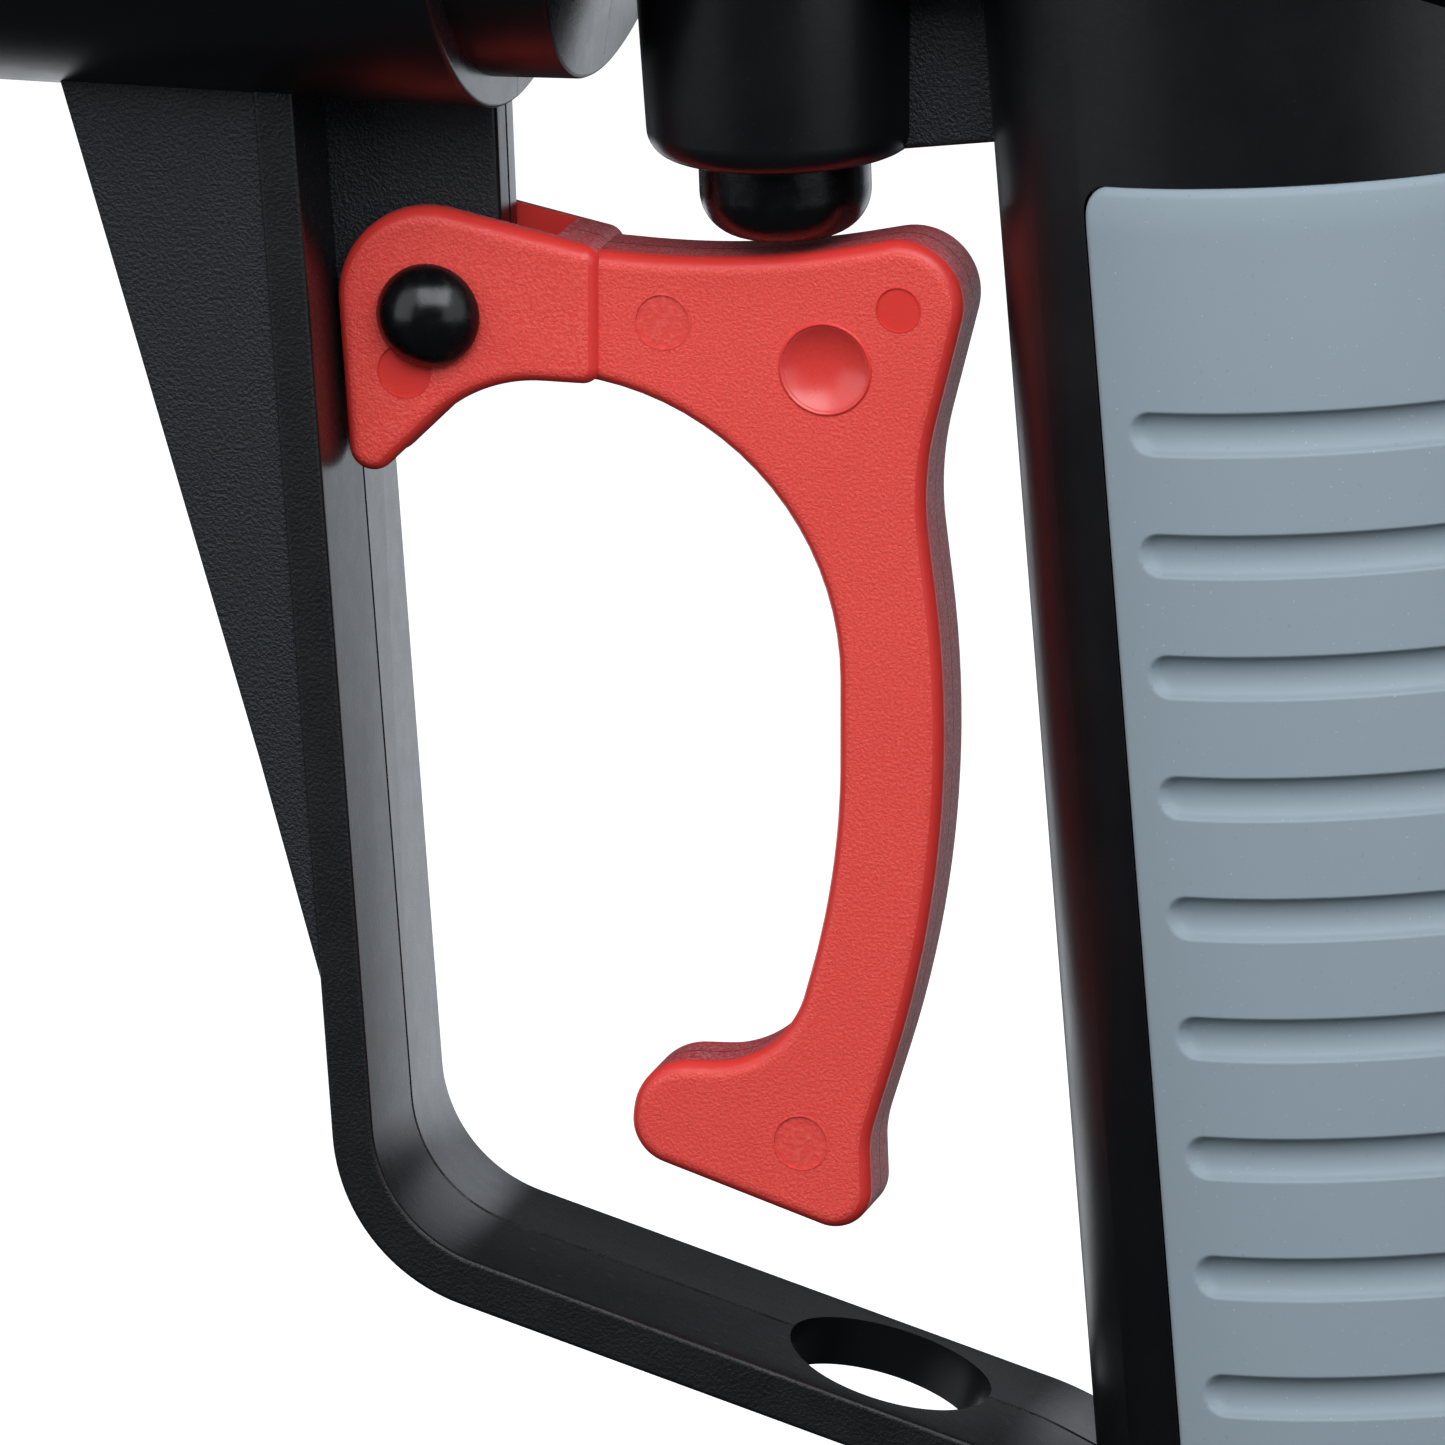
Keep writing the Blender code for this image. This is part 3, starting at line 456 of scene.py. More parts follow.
class Surface:
    """A Principled material with a few procedural layers, in the object's own coordinates."""

    def __init__(self, name, colour, roughness, metallic=0.0, specular=0.5):
        self.made = bpy.data.materials.new(name)
        self.made.use_nodes = True
        self.tree = self.made.node_tree
        self.shader = self.tree.nodes["Principled BSDF"]
        self.shade({
            "Base Color": (*colour, 1.0), "Roughness": roughness, "Metallic": metallic,
            "Specular IOR Level": specular, "IOR": 1.5,
        })
        self.colour = colour
        self.place = self.node("ShaderNodeTexCoord", {}).outputs["Object"]
        self.bump_link = None

    def node(self, kind, inputs, **settings):
        return add_node(self.tree, kind, inputs, **settings)

    def shade(self, inputs):
        set_inputs(self.tree, self.shader, inputs)

    def noise(self, size, detail=3.0, rough=0.55, scale=(1.0, 1.0, 1.0)):
        """Noise with blobs about size millimetres wide, on coordinates scaled by three factors."""
        place = self.node("ShaderNodeMapping", {"Vector": self.place, "Scale": scale})
        return self.node("ShaderNodeTexNoise", {
            "Vector": place.outputs["Vector"], "Scale": 1.0 / (size * MM),
            "Detail": detail, "Roughness": rough,
        }).outputs["Fac"]

    def cells(self, size):
        """Distance from the middle of each cell, with cells about size millimetres wide."""
        inputs = {"Vector": self.place, "Scale": 1.0 / (size * MM)}
        return self.node("ShaderNodeTexVoronoi", inputs).outputs["Distance"]

    def spread(self, value, low, high, start, end):
        """Maps a value from low..high to start..end, clamped."""
        inputs = {"Value": value, "From Min": low, "From Max": high, "To Min": start, "To Max": end}
        return self.node("ShaderNodeMapRange", inputs).outputs["Result"]

    def math(self, operation, first, second):
        inputs = {0: first, 1: second}
        return self.node("ShaderNodeMath", inputs, operation=operation).outputs["Value"]

    def bump(self, height, depth):
        """Adds relief of depth millimetres for a height that runs from 0 to 1."""
        inputs = {"Strength": 1.0, "Distance": depth * MM, "Height": height}
        if self.bump_link:
            inputs["Normal"] = self.bump_link
        self.bump_link = self.node("ShaderNodeBump", inputs).outputs["Normal"]
        self.shade({"Normal": self.bump_link})

    def ripple(self, size, depth, detail=2.0):
        self.bump(self.noise(size, detail), depth)

    def tint(self, value, other):
        """Shades the colour towards another one by a value from 0 to 1."""
        before = self.shader.inputs["Base Color"].links
        inputs = {
            "A": before[0].from_socket if before else (*self.colour, 1.0),
            "B": (*other, 1.0),
            "Factor": value,
        }
        made = self.node("ShaderNodeMix", inputs, data_type="RGBA")
        self.shade({"Base Color": made.outputs["Result"]})

    def mottle(self, value, low, high, share, other):
        """Shades the colour towards another one as a value rises from low to high."""
        self.tint(self.spread(value, low, high, 0.0, share), other)

    def gloss(self, size, low, high, detail=3.0):
        """Roughness that wanders from low to high over blobs of a size."""
        noise = self.noise(size, detail)
        self.shade({"Roughness": self.spread(noise, 0.3, 0.7, low, high)})

    def parting_line(self, width, depth, darker):
        """A fine groove in the plane Y = 0, broken up here and there."""
        split = self.node("ShaderNodeSeparateXYZ", {"Vector": self.place})
        away = self.math("ABSOLUTE", split.outputs["Y"], 0.0)
        line = self.spread(away, width * MM * 0.4, width * MM, 1.0, 0.0)
        gaps = self.spread(self.noise(3.0), 0.38, 0.5, 0.25, 1.0)
        broken = self.math("MULTIPLY", line, gaps)
        self.tint(broken, darker)
        self.bump(self.math("SUBTRACT", 1.0, broken), depth)


def smooth_black():
    look = Surface("smooth_black_nylon", (0.003, 0.0033, 0.0042), 0.34, specular=0.42)
    look.ripple(0.9, 0.01)
    look.ripple(0.25, 0.004)
    look.gloss(9.0, 0.3, 0.38)
    look.mottle(look.noise(0.18, 1.0), 0.72, 0.8, 0.5, (0.03, 0.033, 0.036))
    return look


def grained_black():
    """Spark-eroded side faces with a fine leathery grain."""
    look = Surface("grained_black_nylon", (0.004, 0.0052, 0.0074), 0.56, specular=0.46)
    grain = look.noise(0.34, 2.5, 0.6)
    look.bump(look.spread(grain, 0.35, 0.68, 0.0, 1.0), 0.095)
    look.gloss(5.0, 0.54, 0.62)
    look.mottle(grain, 0.5, 0.72, 0.5, (0.014, 0.018, 0.026))
    return look


def shaded_band_black():
    """The narrow sides of the guard: the same moulding with a shallower grain, in a darker colour
    that paints in shade.
    """
    # Painted shade: this colour is darker than the grained black of the same nylon, to stand for
    # the dimmer light on the guard's sides.
    look = Surface("fine_grained_black_nylon_painted_shade", (0.003, 0.0036, 0.0046), 0.5, specular=0.4)
    look.bump(look.spread(look.noise(0.34, 2.5, 0.6), 0.35, 0.68, 0.0, 1.0), 0.035)
    look.gloss(5.0, 0.44, 0.54)
    look.mottle(look.noise(0.5, 2.0), 0.6, 0.75, 0.5, (0.009, 0.01, 0.013))
    return look


def drawn_black():
    """Faces that the mould is pulled along: satin, with fine streaks and the parting line."""
    look = Surface("drawn_black_nylon", (0.0055, 0.0059, 0.0068), 0.26, specular=0.48)
    streaks = look.noise(0.22, 3.0, 0.6, scale=(0.14, 1.0, 0.14))
    look.bump(streaks, 0.007)
    look.ripple(0.8, 0.003)
    look.gloss(2.4, 0.255, 0.295, 4.0)
    scratches = look.noise(0.16, 2.0, 0.5, scale=(0.05, 1.0, 0.3))
    look.mottle(scratches, 0.66, 0.76, 0.5, (0.08, 0.08, 0.085))
    look.parting_line(0.22, 0.02, (0.001, 0.001, 0.001))
    return look


def gloss_black():
    look = Surface("gloss_black_acetal", (0.0022, 0.0022, 0.0026), 0.24, specular=0.42)
    look.ripple(2.6, 0.01)
    look.ripple(0.3, 0.007)
    look.gloss(1.2, 0.19, 0.31)
    return look


RED = (0.77, 0.066, 0.051)


def grained_red():
    look = Surface("grained_red_moulding", RED, 0.5, specular=0.4)
    grain = look.noise(0.3, 2.5, 0.6)
    look.bump(look.spread(grain, 0.34, 0.68, 0.0, 1.0), 0.05)
    look.mottle(grain, 0.5, 0.72, 0.45, (0.86, 0.15, 0.115))
    look.tint(look.spread(grain, 0.3, 0.48, 0.5, 0.0), (0.64, 0.04, 0.034))
    look.mottle(look.noise(14.0), 0.4, 0.7, 0.35, (0.7, 0.056, 0.046))
    look.gloss(2.0, 0.44, 0.54)
    return look


def marked_red():
    """The rough floor that a mould pin leaves."""
    look = Surface("marked_red_moulding", (0.72, 0.062, 0.05), 0.42, specular=0.45)
    pits = look.noise(0.5, 3.0, 0.6)
    look.bump(pits, 0.13)
    look.mottle(pits, 0.48, 0.7, 0.6, (0.82, 0.12, 0.095))
    look.gloss(0.8, 0.34, 0.48)
    return look


def smooth_red():
    look = Surface("smooth_red_moulding", (0.68, 0.04, 0.032), 0.36, specular=0.42)
    look.ripple(0.5, 0.014)
    look.mottle(look.noise(10.0), 0.4, 0.7, 0.4, (0.62, 0.032, 0.026))
    scratches = look.noise(0.2, 2.0, 0.5, scale=(0.12, 1.0, 0.6))
    look.mottle(scratches, 0.66, 0.76, 0.4, (0.8, 0.14, 0.115))
    look.gloss(2.0, 0.32, 0.42)
    return look


def glossy_red():
    look = Surface("polished_red_moulding", (0.64, 0.044, 0.036), 0.3, specular=0.6)
    look.ripple(1.4, 0.006)
    look.gloss(1.0, 0.25, 0.34)
    return look


def worn_red():
    """The rims of the lever: dull, rough and greyed, with the parting line."""
    look = Surface("worn_red_rim", (0.43, 0.03, 0.034), 0.52, specular=0.5)
    pits = look.noise(0.26, 3.0, 0.7)
    look.bump(pits, 0.06)
    look.mottle(pits, 0.46, 0.64, 0.8, (0.54, 0.23, 0.24))
    look.mottle(look.noise(0.9, 3.0), 0.52, 0.68, 0.6, (0.24, 0.016, 0.022))
    look.parting_line(0.16, 0.05, (0.13, 0.01, 0.014))
    return look


def soft_rubber():
    look = Surface("soft_grey_rubber", (0.248, 0.3, 0.332), 0.62, specular=0.28)
    look.ripple(0.22, 0.006)
    look.ripple(2.6, 0.016, 3.0)
    look.mottle(look.noise(0.32, 1.0), 0.735, 0.8, 0.6, (0.46, 0.52, 0.56))
    dust = look.noise(0.5, 1.0, scale=(1.3, 1.0, 0.8))
    look.mottle(dust, 0.74, 0.8, 0.4, (0.15, 0.18, 0.2))
    look.mottle(look.noise(22.0), 0.35, 0.7, 0.3, (0.268, 0.32, 0.35))
    look.gloss(6.0, 0.56, 0.68)
    return look


def metal(name, colour, roughness, ring_axis, ring=0.25):
    """Bare metal with the rings that a lathe leaves about an axis."""
    look = Surface(name, colour, roughness, metallic=1.0)
    scale = {"X": (1.0, 0.04, 0.04), "Z": (0.04, 0.04, 1.0)}[ring_axis]
    look.bump(look.noise(ring, 2.0, 0.5, scale=scale), 0.006)
    look.gloss(4.0, roughness * 0.85, roughness * 1.25)
    darker = tuple(channel * 0.78 for channel in colour)
    look.mottle(look.noise(6.0, 4.0), 0.45, 0.75, 0.5, darker)
    return look


def porous_bronze():
    look = Surface("sintered_bronze_grains", (0.46, 0.31, 0.15), 0.55, metallic=1.0)
    look.bump(look.cells(0.45), 0.14)
    look.mottle(look.cells(0.45), 0.25, 0.6, 0.85, (0.12, 0.08, 0.04))
    look.gloss(0.5, 0.45, 0.65)
    return look


def black_seal():
    look = Surface("black_seal_rubber", (0.012, 0.012, 0.013), 0.5, specular=0.4)
    look.ripple(0.3, 0.01, 3.0)
    look.gloss(1.5, 0.42, 0.58)
    return look


def white_acetal():
    look = Surface("white_acetal", (0.7, 0.7, 0.68), 0.4)
    look.ripple(0.6, 0.008, 3.0)
    look.mottle(look.noise(12.0), 0.4, 0.7, 0.5, (0.62, 0.62, 0.59))
    return look


SMOOTH = smooth_black().made
GRAINED = grained_black().made
SHADED_BAND = shaded_band_black().made
DRAWN = drawn_black().made
GLOSS = gloss_black().made
RED_FACE = grained_red().made
RED_SMOOTH = smooth_red().made
RED_GLOSSY = glossy_red().made
RED_MARK = marked_red().made
RED_RIM = worn_red().made
RUBBER = soft_rubber().made
ALLOY = metal("satin_anodised_alloy", (0.6, 0.61, 0.63), 0.34, "X", 0.5).made
ALLOY_CAP = metal("turned_alloy", (0.58, 0.59, 0.61), 0.3, "Z").made
BRASS = metal("turned_brass", (0.72, 0.53, 0.25), 0.28, "Z").made
STEEL = metal("plated_steel", (0.58, 0.58, 0.6), 0.24, "Z").made
BRONZE = porous_bronze().made
SEAL = black_seal().made
ACETAL = white_acetal().made


# ======== body

def strut_inner_x(z):
    return STRUT_FOOT[0] - (z - STRUT_FOOT[1]) * STRUT_LEAN


def bar_top_z(x):
    return STRUT_FOOT[1] - (x - STRUT_FOOT[0]) * BAR_FALL


def by_side(piece, side, rim):
    """Gives the faces that look along Y one surface and the others another."""
    mesh = piece.data
    mesh.materials.clear()
    mesh.materials.append(side)
    mesh.materials.append(rim)
    for face in mesh.polygons:
        face.material_index = 0 if abs(face.normal.y) > 0.8 else 1
    return piece


def guard_band():
    top = BARREL_Z - 25.0
    drop = BAR_THICKNESS / cos(atan(BAR_FALL))
    outer_foot_x = STRUT_FOOT[0] - STRUT_THICKNESS
    bend = 30.0
    corners = [
        (strut_inner_x(top), top, 0.0), (*STRUT_FOOT, GUARD_INNER_CORNER),
        (BAR_BEND_X, bar_top_z(BAR_BEND_X), bend), (*BAR_END, 0.0),
        (BAR_END[0], BAR_END[1] - drop, 0.0), (BAR_BEND_X, bar_top_z(BAR_BEND_X) - drop, bend),
        (outer_foot_x, bar_top_z(outer_foot_x) - drop, GUARD_INNER_CORNER + STRUT_THICKNESS),
        (strut_inner_x(top) - STRUT_THICKNESS, top, 0.0),
    ]
    levels = rim_levels(BAND_HALF, 0.45, 4, BAND_DRAFT, PARTING_GROOVE)
    return by_side(slab("guard", rounded(corners, 24), levels, DESIGN, []), SHADED_BAND, DRAWN)


def gusset():
    corners = [
        (strut_inner_x(BODY_TOP) - 1.5, BODY_TOP, 0.0), (-34.6, BODY_TOP, 0.0), (-14.7, -41.1, 6.0),
        (-8.95, GUSSET_TIP_Z, 0.0), (strut_inner_x(GUSSET_TIP_Z) - 1.5, GUSSET_TIP_Z, 0.0),
    ]
    levels = rim_levels(GUSSET_HALF, 0.35, 3)
    made = slab("gusset", rounded(corners, 4), levels, DESIGN, [GRAINED])
    wall = STRUT_THICKNESS + 1.6
    high, low, front = 16.0, -70.0, -60.0
    hollow = [
        (strut_inner_x(high) - wall, high), (front, high),
        (front, low), (strut_inner_x(low) - wall, low),
    ]
    levels = [(GUSSET_WALL - GUSSET_HALF, 0.0), (0.0, 0.0)]
    cut(made, slab("gusset_hollow", hollow, levels, DESIGN, [DRAWN]))
    return made


def tongue():
    corners = [
        (strut_inner_x(BODY_TOP) - 1.0, BODY_TOP, 0.0), (5.35, BODY_TOP, 0.0),
        (6.65, TONGUE_FOOT_Z, 7.0), (strut_inner_x(-8.0) - 1.0, TONGUE_FOOT_Z, 0.0),
    ]
    levels = rim_levels(TONGUE_HALF, 0.7, 6, BAND_DRAFT, PARTING_GROOVE)
    return by_side(slab("tongue", rounded(corners, 16), levels, DESIGN, []), GRAINED, DRAWN)


def neck():
    """The round step behind the cup; its end face leans back as it rises, with a rounded rim."""
    rings = []
    edge = 0.4
    levels = [(NECK_RADIUS, 2.0, 0.0, 0.0)]
    for inwards, back in ((0.0, -edge), (edge * 0.3, -edge * 0.3), (edge, 0.0)):
        levels.append((NECK_END_RADIUS - inwards, NECK_END_X, NECK_END_LEAN, back))
    for radius, start, lean, back in levels:
        ring = []
        for angle in round_steps(160):
            rise = NECK_END_RADIUS + radius * sin(angle)
            x = start + back + rise * tan(lean)
            ring.append((x, radius * cos(angle), BARREL_Z + radius * sin(angle)))
        rings.append(ring)
    return lofted("neck", rings, DESIGN, [SMOOTH, DRAWN], cap_index=1)


def handle_section(offset, height, count=160):
    """Two half ellipses that meet where the handle is widest, grown by an offset."""
    ring = []
    for angle in round_steps(count):
        depth = HANDLE_BACK if cos(angle) > 0.0 else HANDLE_FRONT
        across = (HANDLE_HALF + offset) * sin(angle)
        ring.append(((depth + offset) * cos(angle), across, height))
    return ring


def handle_column(name, offset, low, high, edge=0.0):
    levels = [(offset, low), (offset, high)]
    if edge > 0.0:
        levels[:1] = [
            (offset - edge, low), (offset - edge * 0.3, low + edge * 0.3), (offset, low + edge),
        ]
    return lofted(name, [handle_section(*level) for level in levels], HANDLE, [SMOOTH])


def grip_window(name, margin):
    corners = [
        (GRIP_FRONT - margin, GRIP_HIGH + margin, GRIP_CORNER + margin),
        (GRIP_FRONT - margin, GRIP_LOW - margin, GRIP_CORNER + margin),
        (HANDLE_BACK + 20.0, GRIP_LOW - margin, 0.0),
        (HANDLE_BACK + 20.0, GRIP_HIGH + margin, 0.0),
    ]
    levels = [(-HANDLE_HALF - 10.0, 0.0), (0.0, 0.0)]
    return slab(name, rounded(corners), levels, HANDLE, [SMOOTH])


def grip_recess():
    window = grip_window("grip_recess", 0.03)
    cut(window, handle_column("grip_core", -GRIP_DEPTH, GRIP_LOW - 30.0, GRIP_HIGH + 30.0))
    return window


def valve_housing():
    corner = VALVE_FOOT_CORNER
    rim = VALVE_TOP + 0.8
    profile = [(0.0, 0.0)]
    profile += arc_profile(VALVE_FOOT_RADIUS - corner, corner, corner, -90.0, 0.0, 10)
    profile += [(12.9, 16.0), (12.9, rim - 0.4), (12.5, rim), (0.0, rim)]
    return turned("valve_housing", profile, VALVE, SMOOTH, 128)


def web():
    """The low wall between the valve housing and the handle."""
    outline = [(-42.0, -3.1), (-18.0, -1.9), (-18.0, 20.0), (-42.0, 20.0)]
    return by_side(slab("web", outline, rim_levels(2.0, 0.5, 4), HANDLE, []), GRAINED, SMOOTH)


def cup():
    edge = 0.55
    mouth = 1.2
    profile = [(0.0, CUP_FRONT_X), (CUP_RADIUS - mouth, CUP_FRONT_X)]
    profile.append((CUP_RADIUS, CUP_FRONT_X + mouth))
    profile += arc_profile(CUP_RADIUS - edge, CUP_REAR_X - edge, edge, 0.0, 90.0, 6)
    profile.append((0.0, CUP_REAR_X))
    made = turned("cup", profile, BARREL, SMOOTH, 192)
    made.data.materials.append(DRAWN)
    for face in made.data.polygons:
        if face.normal.x > 0.95:
            face.material_index = 1
    return made


def rear_housing():
    profile = [(0.0, 0.0), (HOUSING_RADIUS, 0.0)]
    profile += arc_profile(HOUSING_RADIUS - 1.5, HOUSING_REAR_X - 1.5, 1.5, 0.0, 90.0, 6)
    profile.append((0.0, HOUSING_REAR_X))
    return turned("rear_housing", profile, BARREL, SMOOTH, 128)


def body():
    made = handle_column("body_look", 0.0, HANDLE_LOW, HANDLE_HIGH, 1.0)
    join(made, rear_housing(), cup(), neck(), valve_housing(), web())
    join(made, gusset(), guard_band(), tongue())
    hole = Matrix.Translation(spot(*HOLE_CENTRE)) @ Matrix.Rotation(atan(BAR_FALL), 4, "Y")
    bores = (
        ("cup_bore", TUBE_RADIUS + 0.4, CUP_FRONT_X - 5.0, CUP_SEAT_X, BARREL, 96),
        ("regulator_bore", REGULATOR_BORE, DIAPHRAGM_X, HOUSING_REAR_X + 5.0, BARREL, 64),
        ("diaphragm_chamber", 13.5, SEAT_X + 4.0, DIAPHRAGM_X + 1.0, BARREL, 48),
        ("poppet_chamber", 7.0, 56.0, SEAT_X, BARREL, 40),
        ("seat_hole", 3.0, SEAT_X - 1.0, SEAT_X + 5.0, BARREL, 24),
        ("valve_bore", VALVE_BORE, 3.2, VALVE_TOP + 5.0, VALVE, 64),
        ("plug_seat", 11.9, VALVE_TOP, VALVE_TOP + 12.0, VALVE, 64),
        ("plunger_hole", PLUNGER_RADIUS + GAP, -2.0, 4.0, VALVE, 96),
        ("inlet_thread", 8.0, HANDLE_LOW - 5.0, HANDLE_LOW + 16.0, INLET, 64),
        ("exhaust_thread", 6.3, HANDLE_LOW - 5.0, HANDLE_LOW + 9.0, EXHAUST, 48),
        ("hanging_hole", HOLE_RADIUS, -12.0, 12.0, hole, 128),
        ("pin_hole", PIN_RADIUS + 0.2, -20.0, 20.0, cross_frame(), 48),
    )
    for name, radius, low, high, place, segments in bores:
        cut(made, rod(name, radius, low, high, place, SMOOTH, segments))
    cut(made, grip_recess())
    stands_for(made, "body_moulding", 28.0)


# ======== grip

def groove_depth(side, height):
    """How deep the grip's surface lies at a distance behind its front edge and a height."""
    index = min(max(round((GROOVE_FIRST - height) / GROOVE_PITCH), 0), GROOVE_COUNT - 1)
    middle = GROOVE_FIRST - index * GROOVE_PITCH
    along = max(GROOVE_MARGIN + GROOVE_HALF - side, 0.0)
    away = hypot(along, height - middle)
    start = GROOVE_HALF * 0.86

    def hollow(distance):
        share = (distance / (GROOVE_HALF * 1.02)) ** 2
        return GROOVE_DEPTH * sqrt(max(1.0 - share, 0.0)) ** 0.8

    if away < start:
        return hollow(away)
    beyond = min((away - start) / GROOVE_LIP, 1.0)
    return hollow(start) * (1.0 - beyond) ** 2


def rim_drop(side, height):
    """How far the grip's surface falls away at its rounded rims and corners."""
    end = min(GRIP_HIGH - height, height - GRIP_LOW)
    if side < GRIP_CORNER and end < GRIP_CORNER:
        edge = GRIP_CORNER - hypot(GRIP_CORNER - side, GRIP_CORNER - end)
    else:
        edge = min(side, end)
    if edge >= GRIP_RIM:
        return 0.0
    inward = 1.0 - max(edge, 0.0) / GRIP_RIM
    drop = (1.0 - sqrt(max(1.0 - inward * inward, 0.0))) * GRIP_RIM
    return drop + (GRIP_TUCK if edge <= 0.0 else 0.0)


def grip_section():
    """The grip's outer line from its near front edge round the back, and the distance along it."""
    count = 2880
    profile = handle_section(GRIP_PROUD, 0.0, count)
    start = next(i for i, point in enumerate(profile[:count // 2]) if point[0] < GRIP_FRONT)
    half = [Vector(point) for point in profile[:start + 1]][::-1]
    outer = half + [Vector((point.x, -point.y, 0.0)) for point in half[::-1]]
    lengths = [0.0]
    for before, after in zip(outer, outer[1:]):
        lengths.append(lengths[-1] + (after - before).length)
    return outer, lengths


def grip():
    """A shell that follows the handle's section, with rounded rims and capsule-shaped grooves."""
    outer, lengths = grip_section()
    total = lengths[-1]
    fine, edge_width, front_width, middle_steps = 0.12, 1.4, 9.0, 60

    near = []
    distance = 0.0
    while distance < front_width:
        near.append(distance)
        distance += fine if distance < edge_width else 0.3
    between = total - 2.0 * front_width
    middle = [front_width + between * step / middle_steps for step in range(middle_steps + 1)]
    sides = near + middle + [total - distance for distance in reversed(near)]

    heights = []
    height = GRIP_HIGH
    while height > GRIP_LOW:
        heights.append(height)
        end = min(GRIP_HIGH - height, height - GRIP_LOW)
        wave = (GROOVE_FIRST - height) / GROOVE_PITCH
        off = abs(wave - round(wave)) * GROOVE_PITCH
        in_groove = wave > -0.3 and off < GROOVE_HALF + 0.6
        height -= fine if end < edge_width or in_groove else 0.4
    heights.append(GRIP_LOW)

    spots = []
    slopes = []
    for side in sides:
        index = min(max(bisect.bisect_left(lengths, side), 1), len(lengths) - 1)
        step = max(lengths[index] - lengths[index - 1], 1e-9)
        share = (side - lengths[index - 1]) / step
        point = outer[index - 1].lerp(outer[index], min(max(share, 0.0), 1.0))
        reach = HANDLE_BACK if point.x > 0.0 else HANDLE_FRONT
        slope = Vector((point.x / reach ** 2, point.y / HANDLE_HALF ** 2, 0.0))
        slope.normalize()
        spots.append(point)
        slopes.append(slope)

    skin = []
    lining = []
    for height in heights:
        roll = min(max(1.0 - (GRIP_HIGH - height) / GRIP_ROLL, 0.0), 1.0)
        for side, point, slope in zip(sides, spots, slopes):
            near_edge = min(side, total - side)
            drop = rim_drop(near_edge, height) + GRIP_ROLL_DEPTH * roll * roll
            moved = point - slope * (drop + groove_depth(near_edge, height))
            skin.append((moved.x, moved.y, height))
            moved = point - slope * (GRIP_PROUD + GRIP_DEPTH - GAP)
            lining.append((moved.x, moved.y, height))

    width = len(sides)
    depth = len(heights)
    base = width * depth
    faces = []
    for row in range(depth - 1):
        for column in range(width - 1):
            here = row * width + column
            behind = base + here
            faces.append((here, here + 1, here + width + 1, here + width))
            faces.append((behind, behind + width, behind + width + 1, behind + 1))
    rims = [(row * width + side, width) for row in range(depth - 1) for side in (0, width - 1)]
    rims += [(row * width + side, 1) for side in range(width - 1) for row in (0, depth - 1)]
    for here, step in rims:
        faces.append((here, here + step, base + here + step, base + here))
    stands_for(solid("grip_look", skin + lining, faces, HANDLE, [RUBBER]), "grip_overmould", 50.0)


# ======== trigger and pin

def ejector_mark(target, x, z, radius, face, depth, surface):
    """A shallow round sink left by a mould pin in the near face, with a fine raised rim."""
    place = cross_frame(x, z)
    rim = [
        (radius - 0.02, face - 0.2), (radius + 0.16, face - 0.2),
        (radius + 0.12, face + 0.05), (radius + 0.02, face + 0.06),
    ]
    join(target, turned("mark_rim", rim, place, surface, 48))
    cut(target, rod("mark", radius, face - depth, face + 1.0, place, surface, 48))


